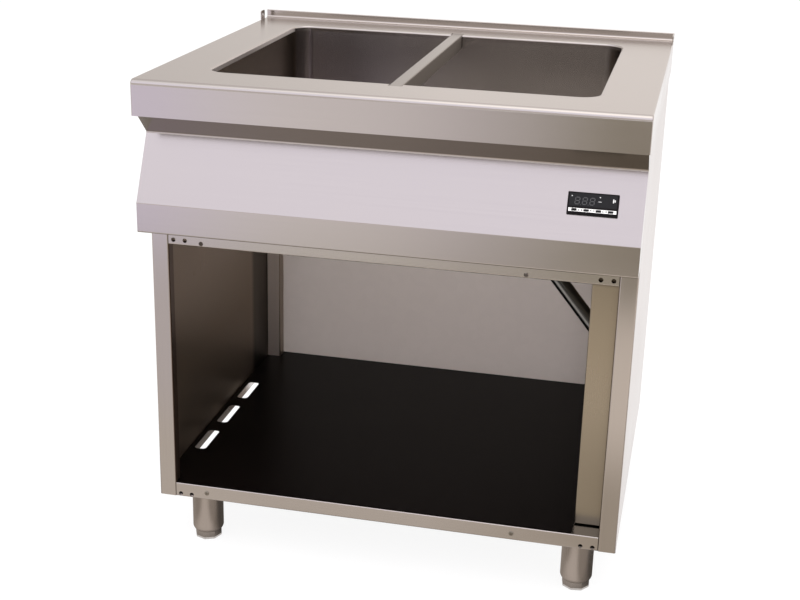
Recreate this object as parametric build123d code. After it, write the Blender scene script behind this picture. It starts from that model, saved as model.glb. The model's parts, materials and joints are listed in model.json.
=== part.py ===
from build123d import *
import math
import os

# Electric bain marie on an open cabinet, in millimetres.
# +X is to the right, +Y to the back, +Z up. The origin is on the floor, under the middle of the worktop.

# Overall sizes
WIDTH = 805.0
DEPTH = 700.0
WORKTOP_HEIGHT = 850.0
SHEET = 1.5

# Worktop
NOSING_HEIGHT = 58.0
NOSING_RADIUS = 9.0
NOSING_RETURN = 36.0
SIDE_EDGE_RADIUS = 3.0
SIDE_LAP = 2.5
UPSTAND_HEIGHT = 14.0
UPSTAND_HEM = 3.0
UPSTAND_COVE = 4.0
EAR_LENGTH = 22.0
EAR_HEIGHT = 16.5
EAR_SETBACK = 24.0
EAR_HOLE_RADIUS = 3.0
EAR_HOLE_RISE = 9.5

# Well
WELL_WIDTH = 628.0
WELL_DEPTH = 508.0
WELL_FRONT_MARGIN = 103.0
WELL_HEIGHT = 190.0
WELL_CORNER_RADIUS = 32.0
WELL_FLOOR_RADIUS = 20.0
WELL_LIP = 9.0
WELL_LIP_BEND = 3.5

# Cross bar
BAR_WIDTH = 22.0
BAR_HEIGHT = 26.0
BAR_OVERLAP = 15.0
BAR_SEAT_CLEARANCE = 0.3
BAR_END_CLEARANCE = 4.0
BAR_LIP_BEND = 2.5

# Control panel
BEVEL_START = 16.0
BEVEL_SETBACK = 54.0
BEVEL_DROP = 36.0
FACE_DROP = 106.0
BAND_SETBACK = 2.0
BAND_HEIGHT = 49.0
PANEL_BEND = 3.0
PANEL_END_GAP = 0.5

# Digital controller
CONTROLLER_RIGHT_MARGIN = 38.5
BEZEL_WIDTH = 77.0
BEZEL_HEIGHT = 35.0
BEZEL_THICK = 4.0
BEZEL_RADIUS = 1.4
CASE_WIDTH = 70.5
CASE_HEIGHT = 28.5
CASE_DEPTH = 45.0
CUTOUT_CLEARANCE = 0.25
WINDOW_WIDTH = 72.0
WINDOW_HEIGHT = 20.0
WINDOW_THICK = 1.2
WINDOW_RISE = 5.5
STRIP_HEIGHT = 5.2
STRIP_DROP = 10.0
KEY_COUNT = 4
KEY_PITCH = 18.3
KEY_WIDTH = 7.6
KEY_HEIGHT = 3.2
KEY_PROUD = 0.8
KEY_TRAVEL = 0.6
KEY_CLEARANCE = 0.3
CLIP_LENGTH = 18.0
CLIP_HEIGHT = 12.0
CLIP_THICK = 5.0

# Cabinet
CABINET_SETBACK = 58.0
CABINET_BOTTOM = 102.0
POST_WIDTH = 30.0
POST_DEPTH = 22.0
REAR_POST_DEPTH = 28.0
POST_GAP = 4.0
POST_SEAM = 1.5
POST_BEND = 3.0
SHEET_BEND = 2.0
BACK_RECESS = 3.0
BACK_PANEL_MARGIN = 8.0
SIDE_PANEL_RISE = 20.0
JOINT_GAP = 0.5

# Top front rail and the holes for optional doors
TOP_RAIL_HEIGHT = 34.0
TOP_RAIL_FLANGE = 37.0
TOP_RAIL_LIP = 20.0
HINGE_HOLE_RADIUS = 3.8
HINGE_HOLE_INSETS = (8.5, 28.5)
HINGE_HOLE_RISE = 8.5
LATCH_HOLE_RISE = 5.5
LATCH_LEFT_INSET = 56.5
LATCH_RIGHT_INSET = 145.0

# Base frame and shelf
RAIL_HEIGHT = 25.5
RAIL_TOP_RETURN = 40.0
RAIL_LOW_RETURN = 20.0
LEDGE_LEFT = 9.0
GUSSET_SIZE = 112.0
GUSSET_THICK = 3.0
CROSS_MEMBER_WIDTH = 40.0
SHELF_FRONT_REVEAL = 3.0
SHELF_LAP = 15.0
SLOT_COUNT = 3
SLOT_LENGTH = 83.0
SLOT_WIDTH = 22.0
SLOT_CORNER_RADIUS = 7.0
SLOT_PITCH = 120.0
SLOT_FIRST = 137.0
SLOT_INSET = 22.4
RIVET_RISE = 12.0

# Service duct
DUCT_WIDTH = 74.0
DUCT_DEPTH = 306.0
DUCT_FLOOR_GAP = 3.0
DUCT_FLANGE = 15.0
DUCT_POST_GAP = 14.0
SUPPLY_HOLE_RADIUS = 16.0

# Legs and feet
LEG_RADIUS = 27.5
LEG_POST_INSET = 36.0
LEG_INSET_FRONT = 60.0
LEG_INSET_BACK = 60.0
LEG_PLATE = 84.0
LEG_PLATE_THICK = 3.0
LEG_END_HEIGHT = 15.0
LEG_TAPER_HEIGHT = 6.0
LEG_TAPER_RADIUS = 24.6
LEG_WALL = 2.0
LEG_PLUG_HEIGHT = 28.0
LEG_BOLT_SPAN = 66.0
FOOT_FLATS = 45.0
FOOT_TURNS = {"front_left": 1.5, "front_right": 31.5, "rear_left": 12.0, "rear_right": 40.0}
FOOT_GAP = 0.4
FOOT_STUD_RADIUS = 10.0
FOOT_STUD_LENGTH = 75.0
FOOT_RUNNING_FIT = 0.05
BOLT_RADIUS = 3.0
BOLT_HEAD_FLATS = 10.0
BOLT_HEAD_THICK = 4.0
BOLT_LENGTH = 14.0
BOLT_CLEARANCE = 0.2

# Drain
DRAIN_INNER_CLEARANCE = 11.75
DRAIN_OUTER_CLEARANCE = 5.75
DRAIN_SETBACK = 300.0
DRAIN_TILT = 39.5
DRAIN_CORNER_HEIGHT = 590.0
PIPE_RADIUS = 13.4
PIPE_WALL = 2.6
PIPE_BEND = 26.0
PIPE_COLLAR_RADIUS = 22.0
PIPE_COLLAR_THICK = 3.0
ELBOW_RUN = 26.0
VALVE_LENGTH = 60.0
VALVE_END_LENGTH = 14.0
VALVE_FLATS = 35.0
VALVE_RADIUS = 20.0
VALVE_NECK_RADIUS = 9.0
VALVE_NECK_LENGTH = 27.0
VALVE_BORE_RADIUS = 9.0
BALL_RADIUS = 15.0
BALL_CLEARANCE = 0.3
STEM_RADIUS = 5.0
STEM_RUNNING_FIT = 0.05
LEVER_LENGTH = 68.0
LEVER_WIDTH = 14.0
LEVER_THICK = 3.0
LEVER_GAP = 1.0
GRIP_LENGTH = 42.0
GRIP_WALL = 2.0
TAIL_RADIUS = 9.2
TAIL_LENGTH = 24.0
WASTE_RADIUS = 13.2
WASTE_BORE_RADIUS = 9.3
WASTE_BEND = 60.0
WASTE_DUCT_CLEARANCE = 4.0
OUTLET_TOP = 192.0
OUTLET_COLLAR_RADIUS = 18.0
OUTLET_COLLAR_THICK = 6.0
OUTLET_BELOW_BASE = 22.0
OUTLET_THREAD_RADIUS = 14.2
OUTLET_THREAD_LENGTH = 16.0
OUTLET_NUT_FLATS = 38.0
OUTLET_NUT_THICK = 8.0
OUTLET_CLEARANCE = 0.2
DRAIN_WELD_GAP = 0.05
COUPLING_FLATS = 34.0
COUPLING_SIDES = 12
COUPLING_LENGTH = 22.0
COUPLING_CHAMFER = 1.5
COUPLING_CLEARANCE = 0.1

# Heating
ELEMENT_RADIUS = 4.25
ELEMENT_GAP = 0.2
ELEMENT_RUNS = 4
ELEMENT_FIRST = 62.0
ELEMENT_SIDE_MARGIN = 42.0
ELEMENT_TURN_STRAIGHT = 10.0
ELEMENT_FRONT_MARGIN = 34.0
ELEMENT_TURN_MARGIN = 66.0
ELEMENT_BACK_MARGIN = 40.0
TERMINAL_LENGTH = 12.0
TERMINAL_STUD_RADIUS = 2.0
TERMINAL_STUD_LENGTH = 10.0
CLAMP_BAR_OVERHANG = 18.0
CLAMP_BAR_WIDTH = 20.0
CLAMP_BAR_THICK = 2.0
CLAMP_BAR_SETBACKS = (145.0, 370.0)
STUD_RADIUS = 3.0
STUD_TAIL = 9.0
NUT_FLATS = 10.0
NUT_THICK = 5.0
STUD_CLEARANCE = 0.3
PROBE_RADIUS = 3.0
PROBE_LENGTH = 70.0
PROBE_SETBACK = 455.0
PROBE_SPACING = 40.0
PROBE_CLIP_LENGTH = 16.0
PROBE_CLIP_THICK = 1.0
PROBE_CLIP_WING = 8.0
PROBE_X = 0.0

# Technical space
UNDERCOVER_FLANGE = 20.0
UNDERCOVER_HOLE_CLEARANCE = 4.0
ANGLE_LEG = 30.0
ANGLE_THICK = 2.0
ANGLE_DROP = 35.0
PLATE_LENGTH = 300.0
PLATE_HEIGHT = 130.0
PLATE_THICK = 2.0
PLATE_SETBACK = 150.0
PLATE_RISE = 14.0
CONTACTOR = (58.0, 45.0, 72.0)
TERMINAL_BLOCK = (30.0, 96.0, 36.0)
THERMOSTAT = (38.0, 46.0, 46.0)
GLAND_FLATS = 24.0
GLAND_BORE_RADIUS = 6.0
GLAND_THREAD_RADIUS = 10.0
GLAND_BODY_LENGTH = 24.0
GLAND_NUT_THICK = 5.0
GLAND_CLEARANCE = 0.3
GLAND_SETBACK = 372.0
GLAND_INSET = 20.0
SCREW_RADIUS = 2.0
SCREW_HEAD_RADIUS = 4.0
SCREW_HEAD_THICK = 1.5
SCREW_LENGTH = 8.0
SCREW_CLEARANCE = 0.2
SCREW_RECESS = (4.4, 0.9, 0.8)
RIVET_BORE_RADIUS = 1.2

# Places that follow from the sizes above
FRONT = -DEPTH / 2
BACK = DEPTH / 2
TOP_SIDE = WIDTH / 2
TOP_SKIN = TOP_SIDE - SHEET
SIDE = TOP_SIDE - SIDE_LAP
SKIN = SIDE - SHEET
NOSING_BOTTOM = WORKTOP_HEIGHT - NOSING_HEIGHT
UNDERSIDE = WORKTOP_HEIGHT - SHEET
WELL_FRONT = FRONT + WELL_FRONT_MARGIN
WELL_BACK = WELL_FRONT + WELL_DEPTH
WELL_Y = (WELL_FRONT + WELL_BACK) / 2
WELL_FLOOR = WORKTOP_HEIGHT - WELL_HEIGHT
TANK_UNDERSIDE = WELL_FLOOR - SHEET
LIP_BOTTOM = WORKTOP_HEIGHT - WELL_LIP
FACE_TOP = NOSING_BOTTOM - BEVEL_DROP
FACE_BOTTOM = FACE_TOP - FACE_DROP
BAND_BOTTOM = FACE_BOTTOM - BAND_HEIGHT
CABINET_FRONT = FRONT + CABINET_SETBACK
CABINET_BACK = BACK - BACK_RECESS
POST_INNER = SIDE - POST_WIDTH
POST_BACK = CABINET_FRONT + POST_DEPTH
REAR_POST_FRONT = CABINET_BACK - REAR_POST_DEPTH
RAIL_TOP = CABINET_BOTTOM + RAIL_HEIGHT
SHELF_TOP = RAIL_TOP + SHEET
TOP_RAIL_BOTTOM = BAND_BOTTOM - TOP_RAIL_HEIGHT
DUCT_X = SIDE - DUCT_WIDTH
DUCT_FRONT = POST_BACK + DUCT_POST_GAP
DUCT_BACK = DUCT_FRONT + DUCT_DEPTH
DUCT_TOP = BAND_BOTTOM - SHEET - JOINT_GAP
DUCT_MIDDLE = (DUCT_X + SKIN) / 2
UNDERCOVER_FRONT = CABINET_FRONT + TOP_RAIL_FLANGE - RAIL_LOW_RETURN + JOINT_GAP
DRAIN_ROOM = PIPE_COLLAR_RADIUS + ELEMENT_RADIUS
ELEMENT_BAY = 2 * DRAIN_ROOM + DRAIN_INNER_CLEARANCE + DRAIN_OUTER_CLEARANCE
ELEMENT_LAST = WELL_WIDTH / 2 - ELEMENT_SIDE_MARGIN
ELEMENT_PITCH = (ELEMENT_LAST - ELEMENT_FIRST - ELEMENT_BAY) / (ELEMENT_RUNS - 2)
INNER_RUNS = [ELEMENT_FIRST + index * ELEMENT_PITCH for index in range(ELEMENT_RUNS // 2)]
OUTER_RUNS = [ELEMENT_LAST - index * ELEMENT_PITCH for index in reversed(range(ELEMENT_RUNS // 2))]
DRAIN_X = INNER_RUNS[-1] + DRAIN_ROOM + DRAIN_INNER_CLEARANCE
DRAIN_Y = FRONT + DRAIN_SETBACK
DRAIN_DIRECTION = Vector(math.sin(math.radians(DRAIN_TILT)), 0, -math.cos(math.radians(DRAIN_TILT)))
DRAIN_CORNER = Vector(DRAIN_X, DRAIN_Y, DRAIN_CORNER_HEIGHT)
VALVE_START = DRAIN_CORNER + DRAIN_DIRECTION * ELBOW_RUN
VALVE_CENTRE = VALVE_START + DRAIN_DIRECTION * (VALVE_LENGTH / 2)
VALVE_END = VALVE_START + DRAIN_DIRECTION * VALVE_LENGTH
WASTE_START = VALVE_END + DRAIN_DIRECTION * JOINT_GAP
WASTE_RUN = (DUCT_MIDDLE - WASTE_START.X) / DRAIN_DIRECTION.X
WASTE_CORNER = WASTE_START + DRAIN_DIRECTION * WASTE_RUN
WASTE_END = Vector(DUCT_MIDDLE, DRAIN_Y, OUTLET_TOP - TAIL_LENGTH - JOINT_GAP)
ELEMENT_BEND = (ELEMENT_PITCH - ELEMENT_TURN_STRAIGHT) / 2
ELEMENT_Z = TANK_UNDERSIDE - ELEMENT_RADIUS - ELEMENT_GAP
CLAMP_BAR_TOP = ELEMENT_Z - ELEMENT_RADIUS - ELEMENT_GAP
LEG_X = POST_INNER - LEG_POST_INSET
LEG_PLACES = {
    "front_left": (-LEG_X, CABINET_FRONT + LEG_INSET_FRONT),
    "front_right": (LEG_X, CABINET_FRONT + LEG_INSET_FRONT),
    "rear_left": (-LEG_X, CABINET_BACK - LEG_INSET_BACK),
    "rear_right": (LEG_X, CABINET_BACK - LEG_INSET_BACK),
}
CONTROLLER_X = SIDE - CONTROLLER_RIGHT_MARGIN - BEZEL_WIDTH / 2
FACE_NORMAL = Vector(0, -FACE_DROP, BEVEL_SETBACK - BAND_SETBACK).normalized()
FACE_CENTRE = Vector(CONTROLLER_X, FRONT + (BEVEL_SETBACK + BAND_SETBACK) / 2, (FACE_TOP + FACE_BOTTOM) / 2)
FACE_PLANE = Plane(origin=FACE_CENTRE, x_dir=(1, 0, 0), z_dir=FACE_NORMAL)


def block(x0, x1, y0, y1, z0, z1):
    """A box between two corners."""
    return Pos((x0 + x1) / 2, (y0 + y1) / 2, (z0 + z1) / 2) * Box(x1 - x0, y1 - y0, z1 - z0)


def folded(points, bend, side):
    """The section of a folded sheet, from the line of its outer face."""
    return make_face(offset(FilletPolyline(*points, radius=bend), amount=SHEET, side=side))


def along_x(section, x0, x1):
    """A section drawn as (Y, Z), run from x0 to x1."""
    return extrude(Plane.YZ.offset(x0) * section, amount=x1 - x0)


def upright(section, z0, z1):
    """A section drawn as (X, Y), run from z0 to z1."""
    return extrude(Plane.XY.offset(z0) * section, amount=z1 - z0)


def well_outline(grow):
    """The rounded outline of the well, grown on all sides."""
    size = (WELL_WIDTH + 2 * grow, WELL_DEPTH + 2 * grow)
    return Pos(0, WELL_Y) * RectangleRounded(*size, WELL_CORNER_RADIUS + grow)


def rod(radius, start, end):
    """A round bar between two points."""
    return extrude(Plane(origin=start, z_dir=end - start) * Circle(radius), amount=(end - start).length)


def hexagon(flats):
    """A hexagon by its width across flats."""
    return RegularPolygon(flats / 2, 6, major_radius=False)


def group(solids):
    """Separate solids that share one node."""
    return Compound(children=list(solids))


def worktop():
    body = block(-TOP_SIDE, TOP_SIDE, FRONT, BACK, NOSING_BOTTOM, WORKTOP_HEIGHT)
    nosing = body.edges().filter_by(Axis.X).group_by(Axis.Z)[-1].sort_by(Axis.Y)[0]
    body = fillet(nosing, NOSING_RADIUS)
    body -= upright(well_outline(0), NOSING_BOTTOM, WORKTOP_HEIGHT)
    top = body.faces().sort_by(Axis.Z)[-1]
    body = fillet(top.inner_wires()[0].edges(), WELL_LIP_BEND)
    top = body.faces().sort_by(Axis.Z)[-1]
    sides = [edge for edge in top.outer_wire().edges() if abs(edge.center().X) > TOP_SKIN]
    body = fillet(sides, SIDE_EDGE_RADIUS)
    sheet = offset(body, amount=-SHEET, openings=body.faces().sort_by(Axis.Z)[0])
    sheet -= upright(well_outline(WELL_LIP), NOSING_BOTTOM - SHEET, LIP_BOTTOM)
    sheet += block(-TOP_SKIN, TOP_SKIN, FRONT, FRONT + NOSING_RETURN, NOSING_BOTTOM, NOSING_BOTTOM + SHEET)
    sheet += upstand()
    for sign in (-1, 1):
        sheet += ear(sign)
    for edge, outward in ((WELL_FRONT, -1), (WELL_BACK, 1)):
        half = BAR_WIDTH / 2 + BAR_SEAT_CLEARANCE
        end = edge + outward * (BAR_OVERLAP + BAR_SEAT_CLEARANCE)
        seat_start = edge + outward * SHEET / 2
        sheet += bar_seat(half + SHEET, end + outward * SHEET, seat_start, UNDERSIDE - SHEET, UNDERSIDE)
        sheet -= bar_seat(half, end, edge, UNDERSIDE, WORKTOP_HEIGHT)
    return sheet


def bar_seat(half, end, edge, low, high):
    """A block across the middle of the worktop, between a well edge and the end of the cross bar."""
    y0, y1 = sorted((end, edge))
    return block(-half, half, y0, y1, low, high)


def upstand():
    """A hemmed rear edge, with a cove where it rises from the worktop."""
    foot = BACK - UPSTAND_HEM - UPSTAND_COVE
    face = BACK - UPSTAND_HEM
    top = WORKTOP_HEIGHT + UPSTAND_HEIGHT
    shoulder = top - UPSTAND_HEM / 2
    with BuildSketch() as section:
        with BuildLine():
            Line((foot, UNDERSIDE), (foot, WORKTOP_HEIGHT))
            RadiusArc((foot, WORKTOP_HEIGHT), (face, WORKTOP_HEIGHT + UPSTAND_COVE), -UPSTAND_COVE)
            Line((face, WORKTOP_HEIGHT + UPSTAND_COVE), (face, shoulder))
            ThreePointArc((face, shoulder), (BACK - UPSTAND_HEM / 2, top), (BACK, shoulder))
            Polyline((BACK, shoulder), (BACK, UNDERSIDE), (foot, UNDERSIDE))
        make_face()
    return along_x(section.sketch, -TOP_SIDE, TOP_SIDE)


def ear(sign):
    """A tab of the side flange, with the hole that joins a neighbouring unit."""
    back = BACK - EAR_SETBACK
    top = WORKTOP_HEIGHT + EAR_HEIGHT
    tab = block(TOP_SKIN, TOP_SIDE, back - EAR_LENGTH, back, UNDERSIDE - SIDE_EDGE_RADIUS, top)
    tab = fillet(tab.edges().filter_by(Axis.X).group_by(Axis.Z)[-1], SIDE_EDGE_RADIUS)
    hole = Plane.YZ.offset(TOP_SKIN) * Pos(back - EAR_LENGTH / 2, WORKTOP_HEIGHT + EAR_HOLE_RISE)
    tab -= extrude(hole * Circle(EAR_HOLE_RADIUS), amount=SHEET)
    return tab if sign > 0 else mirror(tab, about=Plane.YZ)


def well_tank():
    tank = upright(well_outline(SHEET), TANK_UNDERSIDE, LIP_BOTTOM)
    tank = fillet(tank.faces().sort_by(Axis.Z)[0].edges(), WELL_FLOOR_RADIUS + SHEET)
    tank = offset(tank, amount=-SHEET, openings=tank.faces().sort_by(Axis.Z)[-1])
    drain = Plane.XY.offset(TANK_UNDERSIDE - SHEET) * Pos(DRAIN_X, DRAIN_Y)
    return tank - extrude(drain * Circle(PIPE_RADIUS + DRAIN_WELD_GAP), amount=3 * SHEET)


def cross_bar():
    """An inverted channel whose top runs into a shallow seat in the worktop at both ends."""
    half = BAR_WIDTH / 2
    low = WORKTOP_HEIGHT - BAR_HEIGHT
    high = WORKTOP_HEIGHT
    section = folded([(-half, low), (-half, high), (half, high), (half, low)], BAR_LIP_BEND, Side.RIGHT)
    start = WELL_FRONT - BAR_OVERLAP
    length = WELL_DEPTH + 2 * BAR_OVERLAP
    bar = extrude(Plane(origin=(0, start, 0), x_dir=(1, 0, 0), z_dir=(0, -1, 0)) * section, amount=-length)
    trim = BAR_OVERLAP + BAR_END_CLEARANCE
    for y0 in (start, start + length - trim):
        bar -= block(-half, half, y0, y0 + trim, low, UNDERSIDE)
    return bar


def control_panel():
    """One folded sheet hung from the nosing, with welded end cheeks and a cut-out for the controller."""
    valley = (FRONT + BEVEL_SETBACK, FACE_TOP)
    fold = (FRONT + BAND_SETBACK, FACE_BOTTOM)
    foot = (FRONT + BAND_SETBACK, BAND_BOTTOM)
    lip = (FRONT + BEVEL_START, NOSING_BOTTOM)
    flange_end = (FRONT + NOSING_RETURN, NOSING_BOTTOM)
    return_end = (UNDERCOVER_FRONT - JOINT_GAP, BAND_BOTTOM)
    section = folded([flange_end, lip, valley, fold, foot, return_end], PANEL_BEND, Side.LEFT)
    panel = along_x(section, -SIDE, SIDE)
    cheek_back = CABINET_FRONT - PANEL_END_GAP
    corners = [lip, valley, fold, foot, (cheek_back, BAND_BOTTOM), (cheek_back, NOSING_BOTTOM), lip]
    with BuildSketch() as cheek:
        with BuildLine():
            Polyline(*corners)
        make_face()
        convex = [v for v in cheek.vertices() if (v.X, v.Y) in (fold, foot)]
        fillet(convex, PANEL_BEND)
    for x0 in (-SIDE, SKIN):
        panel += along_x(cheek.sketch, x0, x0 + SHEET)
    for sign in (-1, 1):
        inner = sign * (POST_INNER - PANEL_END_GAP)
        x0, x1 = sorted((inner, sign * SIDE))
        panel -= block(x0, x1, cheek_back, POST_BACK, BAND_BOTTOM, FACE_BOTTOM)
    hole = Rectangle(CASE_WIDTH + 2 * CUTOUT_CLEARANCE, CASE_HEIGHT + 2 * CUTOUT_CLEARANCE)
    return panel - extrude(FACE_PLANE * hole, amount=2 * SHEET, both=True)


def key_places():
    """Key centres in the plane of the sloping face."""
    first = -KEY_PITCH * (KEY_COUNT - 1) / 2
    return [(first + index * KEY_PITCH, -STRIP_DROP) for index in range(KEY_COUNT)]


def controller_case():
    bezel = extrude(FACE_PLANE * RectangleRounded(BEZEL_WIDTH, BEZEL_HEIGHT, BEZEL_RADIUS), amount=BEZEL_THICK)
    rim = bezel.faces().sort_by(Axis(FACE_CENTRE, FACE_NORMAL))[-1].edges()
    case = fillet(rim, BEZEL_THICK / 4)
    case += extrude(FACE_PLANE * Rectangle(CASE_WIDTH, CASE_HEIGHT), amount=-CASE_DEPTH)
    floor = FACE_PLANE.offset(BEZEL_THICK - WINDOW_THICK)
    case -= extrude(floor * Pos(0, WINDOW_RISE) * Rectangle(WINDOW_WIDTH, WINDOW_HEIGHT), amount=WINDOW_THICK)
    case -= extrude(floor * Pos(0, -STRIP_DROP) * Rectangle(WINDOW_WIDTH, STRIP_HEIGHT), amount=WINDOW_THICK)
    for place in key_places():
        case -= extrude(FACE_PLANE * Pos(*place) * key_outline(KEY_CLEARANCE), amount=BEZEL_THICK)
    return case


def key_outline(grow):
    return RectangleRounded(KEY_WIDTH + 2 * grow, KEY_HEIGHT + 2 * grow, KEY_HEIGHT / 4 + grow)


def display_window():
    floor = FACE_PLANE.offset(BEZEL_THICK - WINDOW_THICK)
    return extrude(floor * Pos(0, WINDOW_RISE) * Rectangle(WINDOW_WIDTH, WINDOW_HEIGHT), amount=WINDOW_THICK)


def keypad_strip():
    floor = FACE_PLANE.offset(BEZEL_THICK - WINDOW_THICK)
    outline = Pos(0, -STRIP_DROP) * Rectangle(WINDOW_WIDTH, STRIP_HEIGHT)
    for place in key_places():
        outline -= Pos(*place) * key_outline(KEY_CLEARANCE)
    return extrude(floor * outline, amount=WINDOW_THICK)


def controller_key(place):
    low = KEY_TRAVEL + KEY_CLEARANCE
    high = BEZEL_THICK + KEY_PROUD
    key = extrude(FACE_PLANE.offset(low) * Pos(*place) * key_outline(0), amount=high - low)
    crown = key.faces().sort_by(Axis(FACE_CENTRE, FACE_NORMAL))[-1].edges()
    return fillet(crown, KEY_PROUD / 2)


def controller_clips():
    """Two spring clips that pull the case against the back of the panel."""
    start = FACE_PLANE.offset(-SHEET)
    reach = CASE_WIDTH / 2 + CLIP_THICK / 2
    section = RectangleRounded(CLIP_THICK, CLIP_HEIGHT, CLIP_THICK / 4)
    return group(extrude(start * Pos(sign * reach, 0) * section, amount=-CLIP_LENGTH) for sign in (-1, 1))


def side_panel(sign):
    """One sheet folded into the outer skin, a front post and a rear post, with its top in the worktop's flange."""
    inner_end = SKIN - POST_GAP
    top = NOSING_BOTTOM + SIDE_PANEL_RISE
    front = [
        (inner_end, POST_BACK),
        (POST_INNER, POST_BACK),
        (POST_INNER, CABINET_FRONT),
        (SIDE, CABINET_FRONT),
        (SIDE, 0),
    ]
    rear = [
        (SIDE, 0),
        (SIDE, CABINET_BACK),
        (POST_INNER, CABINET_BACK),
        (POST_INNER, REAR_POST_FRONT),
        (inner_end, REAR_POST_FRONT),
    ]
    panel = upright(folded(front, POST_BEND, Side.LEFT), CABINET_BOTTOM, top)
    panel += upright(folded(rear, POST_BEND, Side.LEFT), CABINET_BOTTOM, top)
    for y0 in (POST_BACK - SHEET, REAR_POST_FRONT):
        panel += block(inner_end, SKIN - POST_SEAM, y0, y0 + SHEET, CABINET_BOTTOM, top)
    for place in back_screw_places():
        if place[0] > 0:
            panel -= screw_hole(place, CABINET_BACK - 2 * SHEET)
    return panel if sign > 0 else mirror(panel, about=Plane.YZ)


def back_screw_places():
    """Screw centres (X, Z) on the rear flanges of the posts."""
    x = SIDE - POST_WIDTH / 2
    low = CABINET_BOTTOM + POST_WIDTH
    high = NOSING_BOTTOM - POST_WIDTH
    return [(s * x, z) for s in (-1, 1) for z in (low, (2 * low + high) / 3, (low + 2 * high) / 3, high)]


def screw_hole(place, y0):
    """A clearance hole along +Y."""
    start = Plane(origin=(place[0], y0, place[1]), x_dir=(1, 0, 0), z_dir=(0, 1, 0))
    return extrude(start * Circle(SCREW_RADIUS + SCREW_CLEARANCE), amount=BACK - y0)


def back_panel():
    panel = block(
        -SIDE + BACK_PANEL_MARGIN, SIDE - BACK_PANEL_MARGIN,
        CABINET_BACK, CABINET_BACK + SHEET,
        CABINET_BOTTOM, NOSING_BOTTOM - JOINT_GAP,
    )
    for place in back_screw_places():
        panel -= screw_hole(place, CABINET_BACK)
    return panel


def back_panel_screws():
    """Cross-head screws."""
    length, width, depth = SCREW_RECESS
    cross = Rectangle(length, width) + Rectangle(width, length)
    screws = []
    for x, z in back_screw_places():
        seat = Plane(origin=(x, CABINET_BACK + SHEET, z), x_dir=(1, 0, 0), z_dir=(0, 1, 0))
        head = extrude(seat * Circle(SCREW_HEAD_RADIUS), amount=SCREW_HEAD_THICK)
        head = chamfer(head.faces().sort_by(Axis.Y)[-1].edges(), SCREW_HEAD_THICK / 2)
        head -= extrude(seat.offset(SCREW_HEAD_THICK) * cross, amount=-depth)
        screws.append(head + extrude(seat * Circle(SCREW_RADIUS), amount=-SCREW_LENGTH))
    return group(screws)


def door_hole_places():
    """Hole centres of the front rails as (X, is_latch)."""
    hinges = [(s * (POST_INNER - inset), False) for s in (-1, 1) for inset in HINGE_HOLE_INSETS]
    latches = [(-POST_INNER + LATCH_LEFT_INSET, True), (POST_INNER - LATCH_RIGHT_INSET, True)]
    return hinges + latches


def rail_hole(x, z, radius):
    start = Plane(origin=(x, CABINET_FRONT, z), x_dir=(1, 0, 0), z_dir=(0, 1, 0))
    return extrude(start * Circle(radius), amount=2 * SHEET, both=True)


def top_front_rail():
    """A channel between the front posts."""
    points = [
        (CABINET_FRONT + TOP_RAIL_LIP, TOP_RAIL_BOTTOM),
        (CABINET_FRONT, TOP_RAIL_BOTTOM),
        (CABINET_FRONT, BAND_BOTTOM),
        (CABINET_FRONT + TOP_RAIL_FLANGE, BAND_BOTTOM),
    ]
    rail = along_x(folded(points, SHEET_BEND, Side.RIGHT), -POST_INNER, POST_INNER)
    for x, is_latch in door_hole_places():
        rise = LATCH_HOLE_RISE if is_latch else HINGE_HOLE_RISE
        rail -= rail_hole(x, TOP_RAIL_BOTTOM + rise, HINGE_HOLE_RADIUS)
    return rail


def base_rail(face, inward):
    """A base rail section: low return, upright face, and the top return that carries the shelf."""
    points = [
        (face + inward * RAIL_LOW_RETURN, CABINET_BOTTOM),
        (face, CABINET_BOTTOM),
        (face, RAIL_TOP),
        (face + inward * RAIL_TOP_RETURN, RAIL_TOP),
    ]
    side = Side.RIGHT if inward > 0 else Side.LEFT
    return along_x(folded(points, SHEET_BEND, side), -POST_INNER, POST_INNER)


def side_ledge(sign, reach):
    """The angle along a side panel that carries the shelf's edge."""
    outer = sign * SKIN
    points = [(outer, CABINET_BOTTOM), (outer, RAIL_TOP), (outer - sign * reach, RAIL_TOP)]
    section = folded(points, SHEET_BEND, Side.LEFT if sign > 0 else Side.RIGHT)
    start = POST_BACK + JOINT_GAP
    length = REAR_POST_FRONT - JOINT_GAP - start
    return extrude(Plane(origin=(0, start, 0), x_dir=(1, 0, 0), z_dir=(0, -1, 0)) * section, amount=-length)


def base_frame():
    ledge_right = DUCT_WIDTH - SHEET + SHELF_LAP
    rear_face = CABINET_BACK - JOINT_GAP
    frame = base_rail(CABINET_FRONT, 1)
    frame += base_rail(rear_face, -1)
    frame += side_ledge(-1, LEDGE_LEFT)
    frame += side_ledge(1, ledge_right)
    frame += shelf_bearer()
    for x, y in LEG_PLACES.values():
        frame += gusset(x, y)
    for x, y in LEG_PLACES.values():
        for bx, by in bolt_places(x, y):
            hole = Plane.XY.offset(CABINET_BOTTOM) * Pos(bx, by) * Circle(BOLT_RADIUS + BOLT_CLEARANCE)
            frame -= extrude(hole, amount=GUSSET_THICK)
    outlet = Plane.XY.offset(CABINET_BOTTOM) * Pos(DUCT_MIDDLE, DRAIN_Y)
    frame -= extrude(outlet * Circle(OUTLET_THREAD_RADIUS + OUTLET_CLEARANCE), amount=RAIL_HEIGHT)
    supply = Plane.XY.offset(CABINET_BOTTOM) * Pos(POST_INNER - GLAND_INSET, FRONT + GLAND_SETBACK)
    frame -= extrude(supply * Circle(SUPPLY_HOLE_RADIUS), amount=RAIL_HEIGHT)
    for x, is_latch in door_hole_places():
        if is_latch:
            frame -= rail_hole(x, CABINET_BOTTOM + RIVET_RISE, SCREW_RADIUS + SCREW_CLEARANCE)
        else:
            frame -= rail_hole(x, CABINET_BOTTOM + LATCH_HOLE_RISE, HINGE_HOLE_RADIUS)
    return frame


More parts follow.
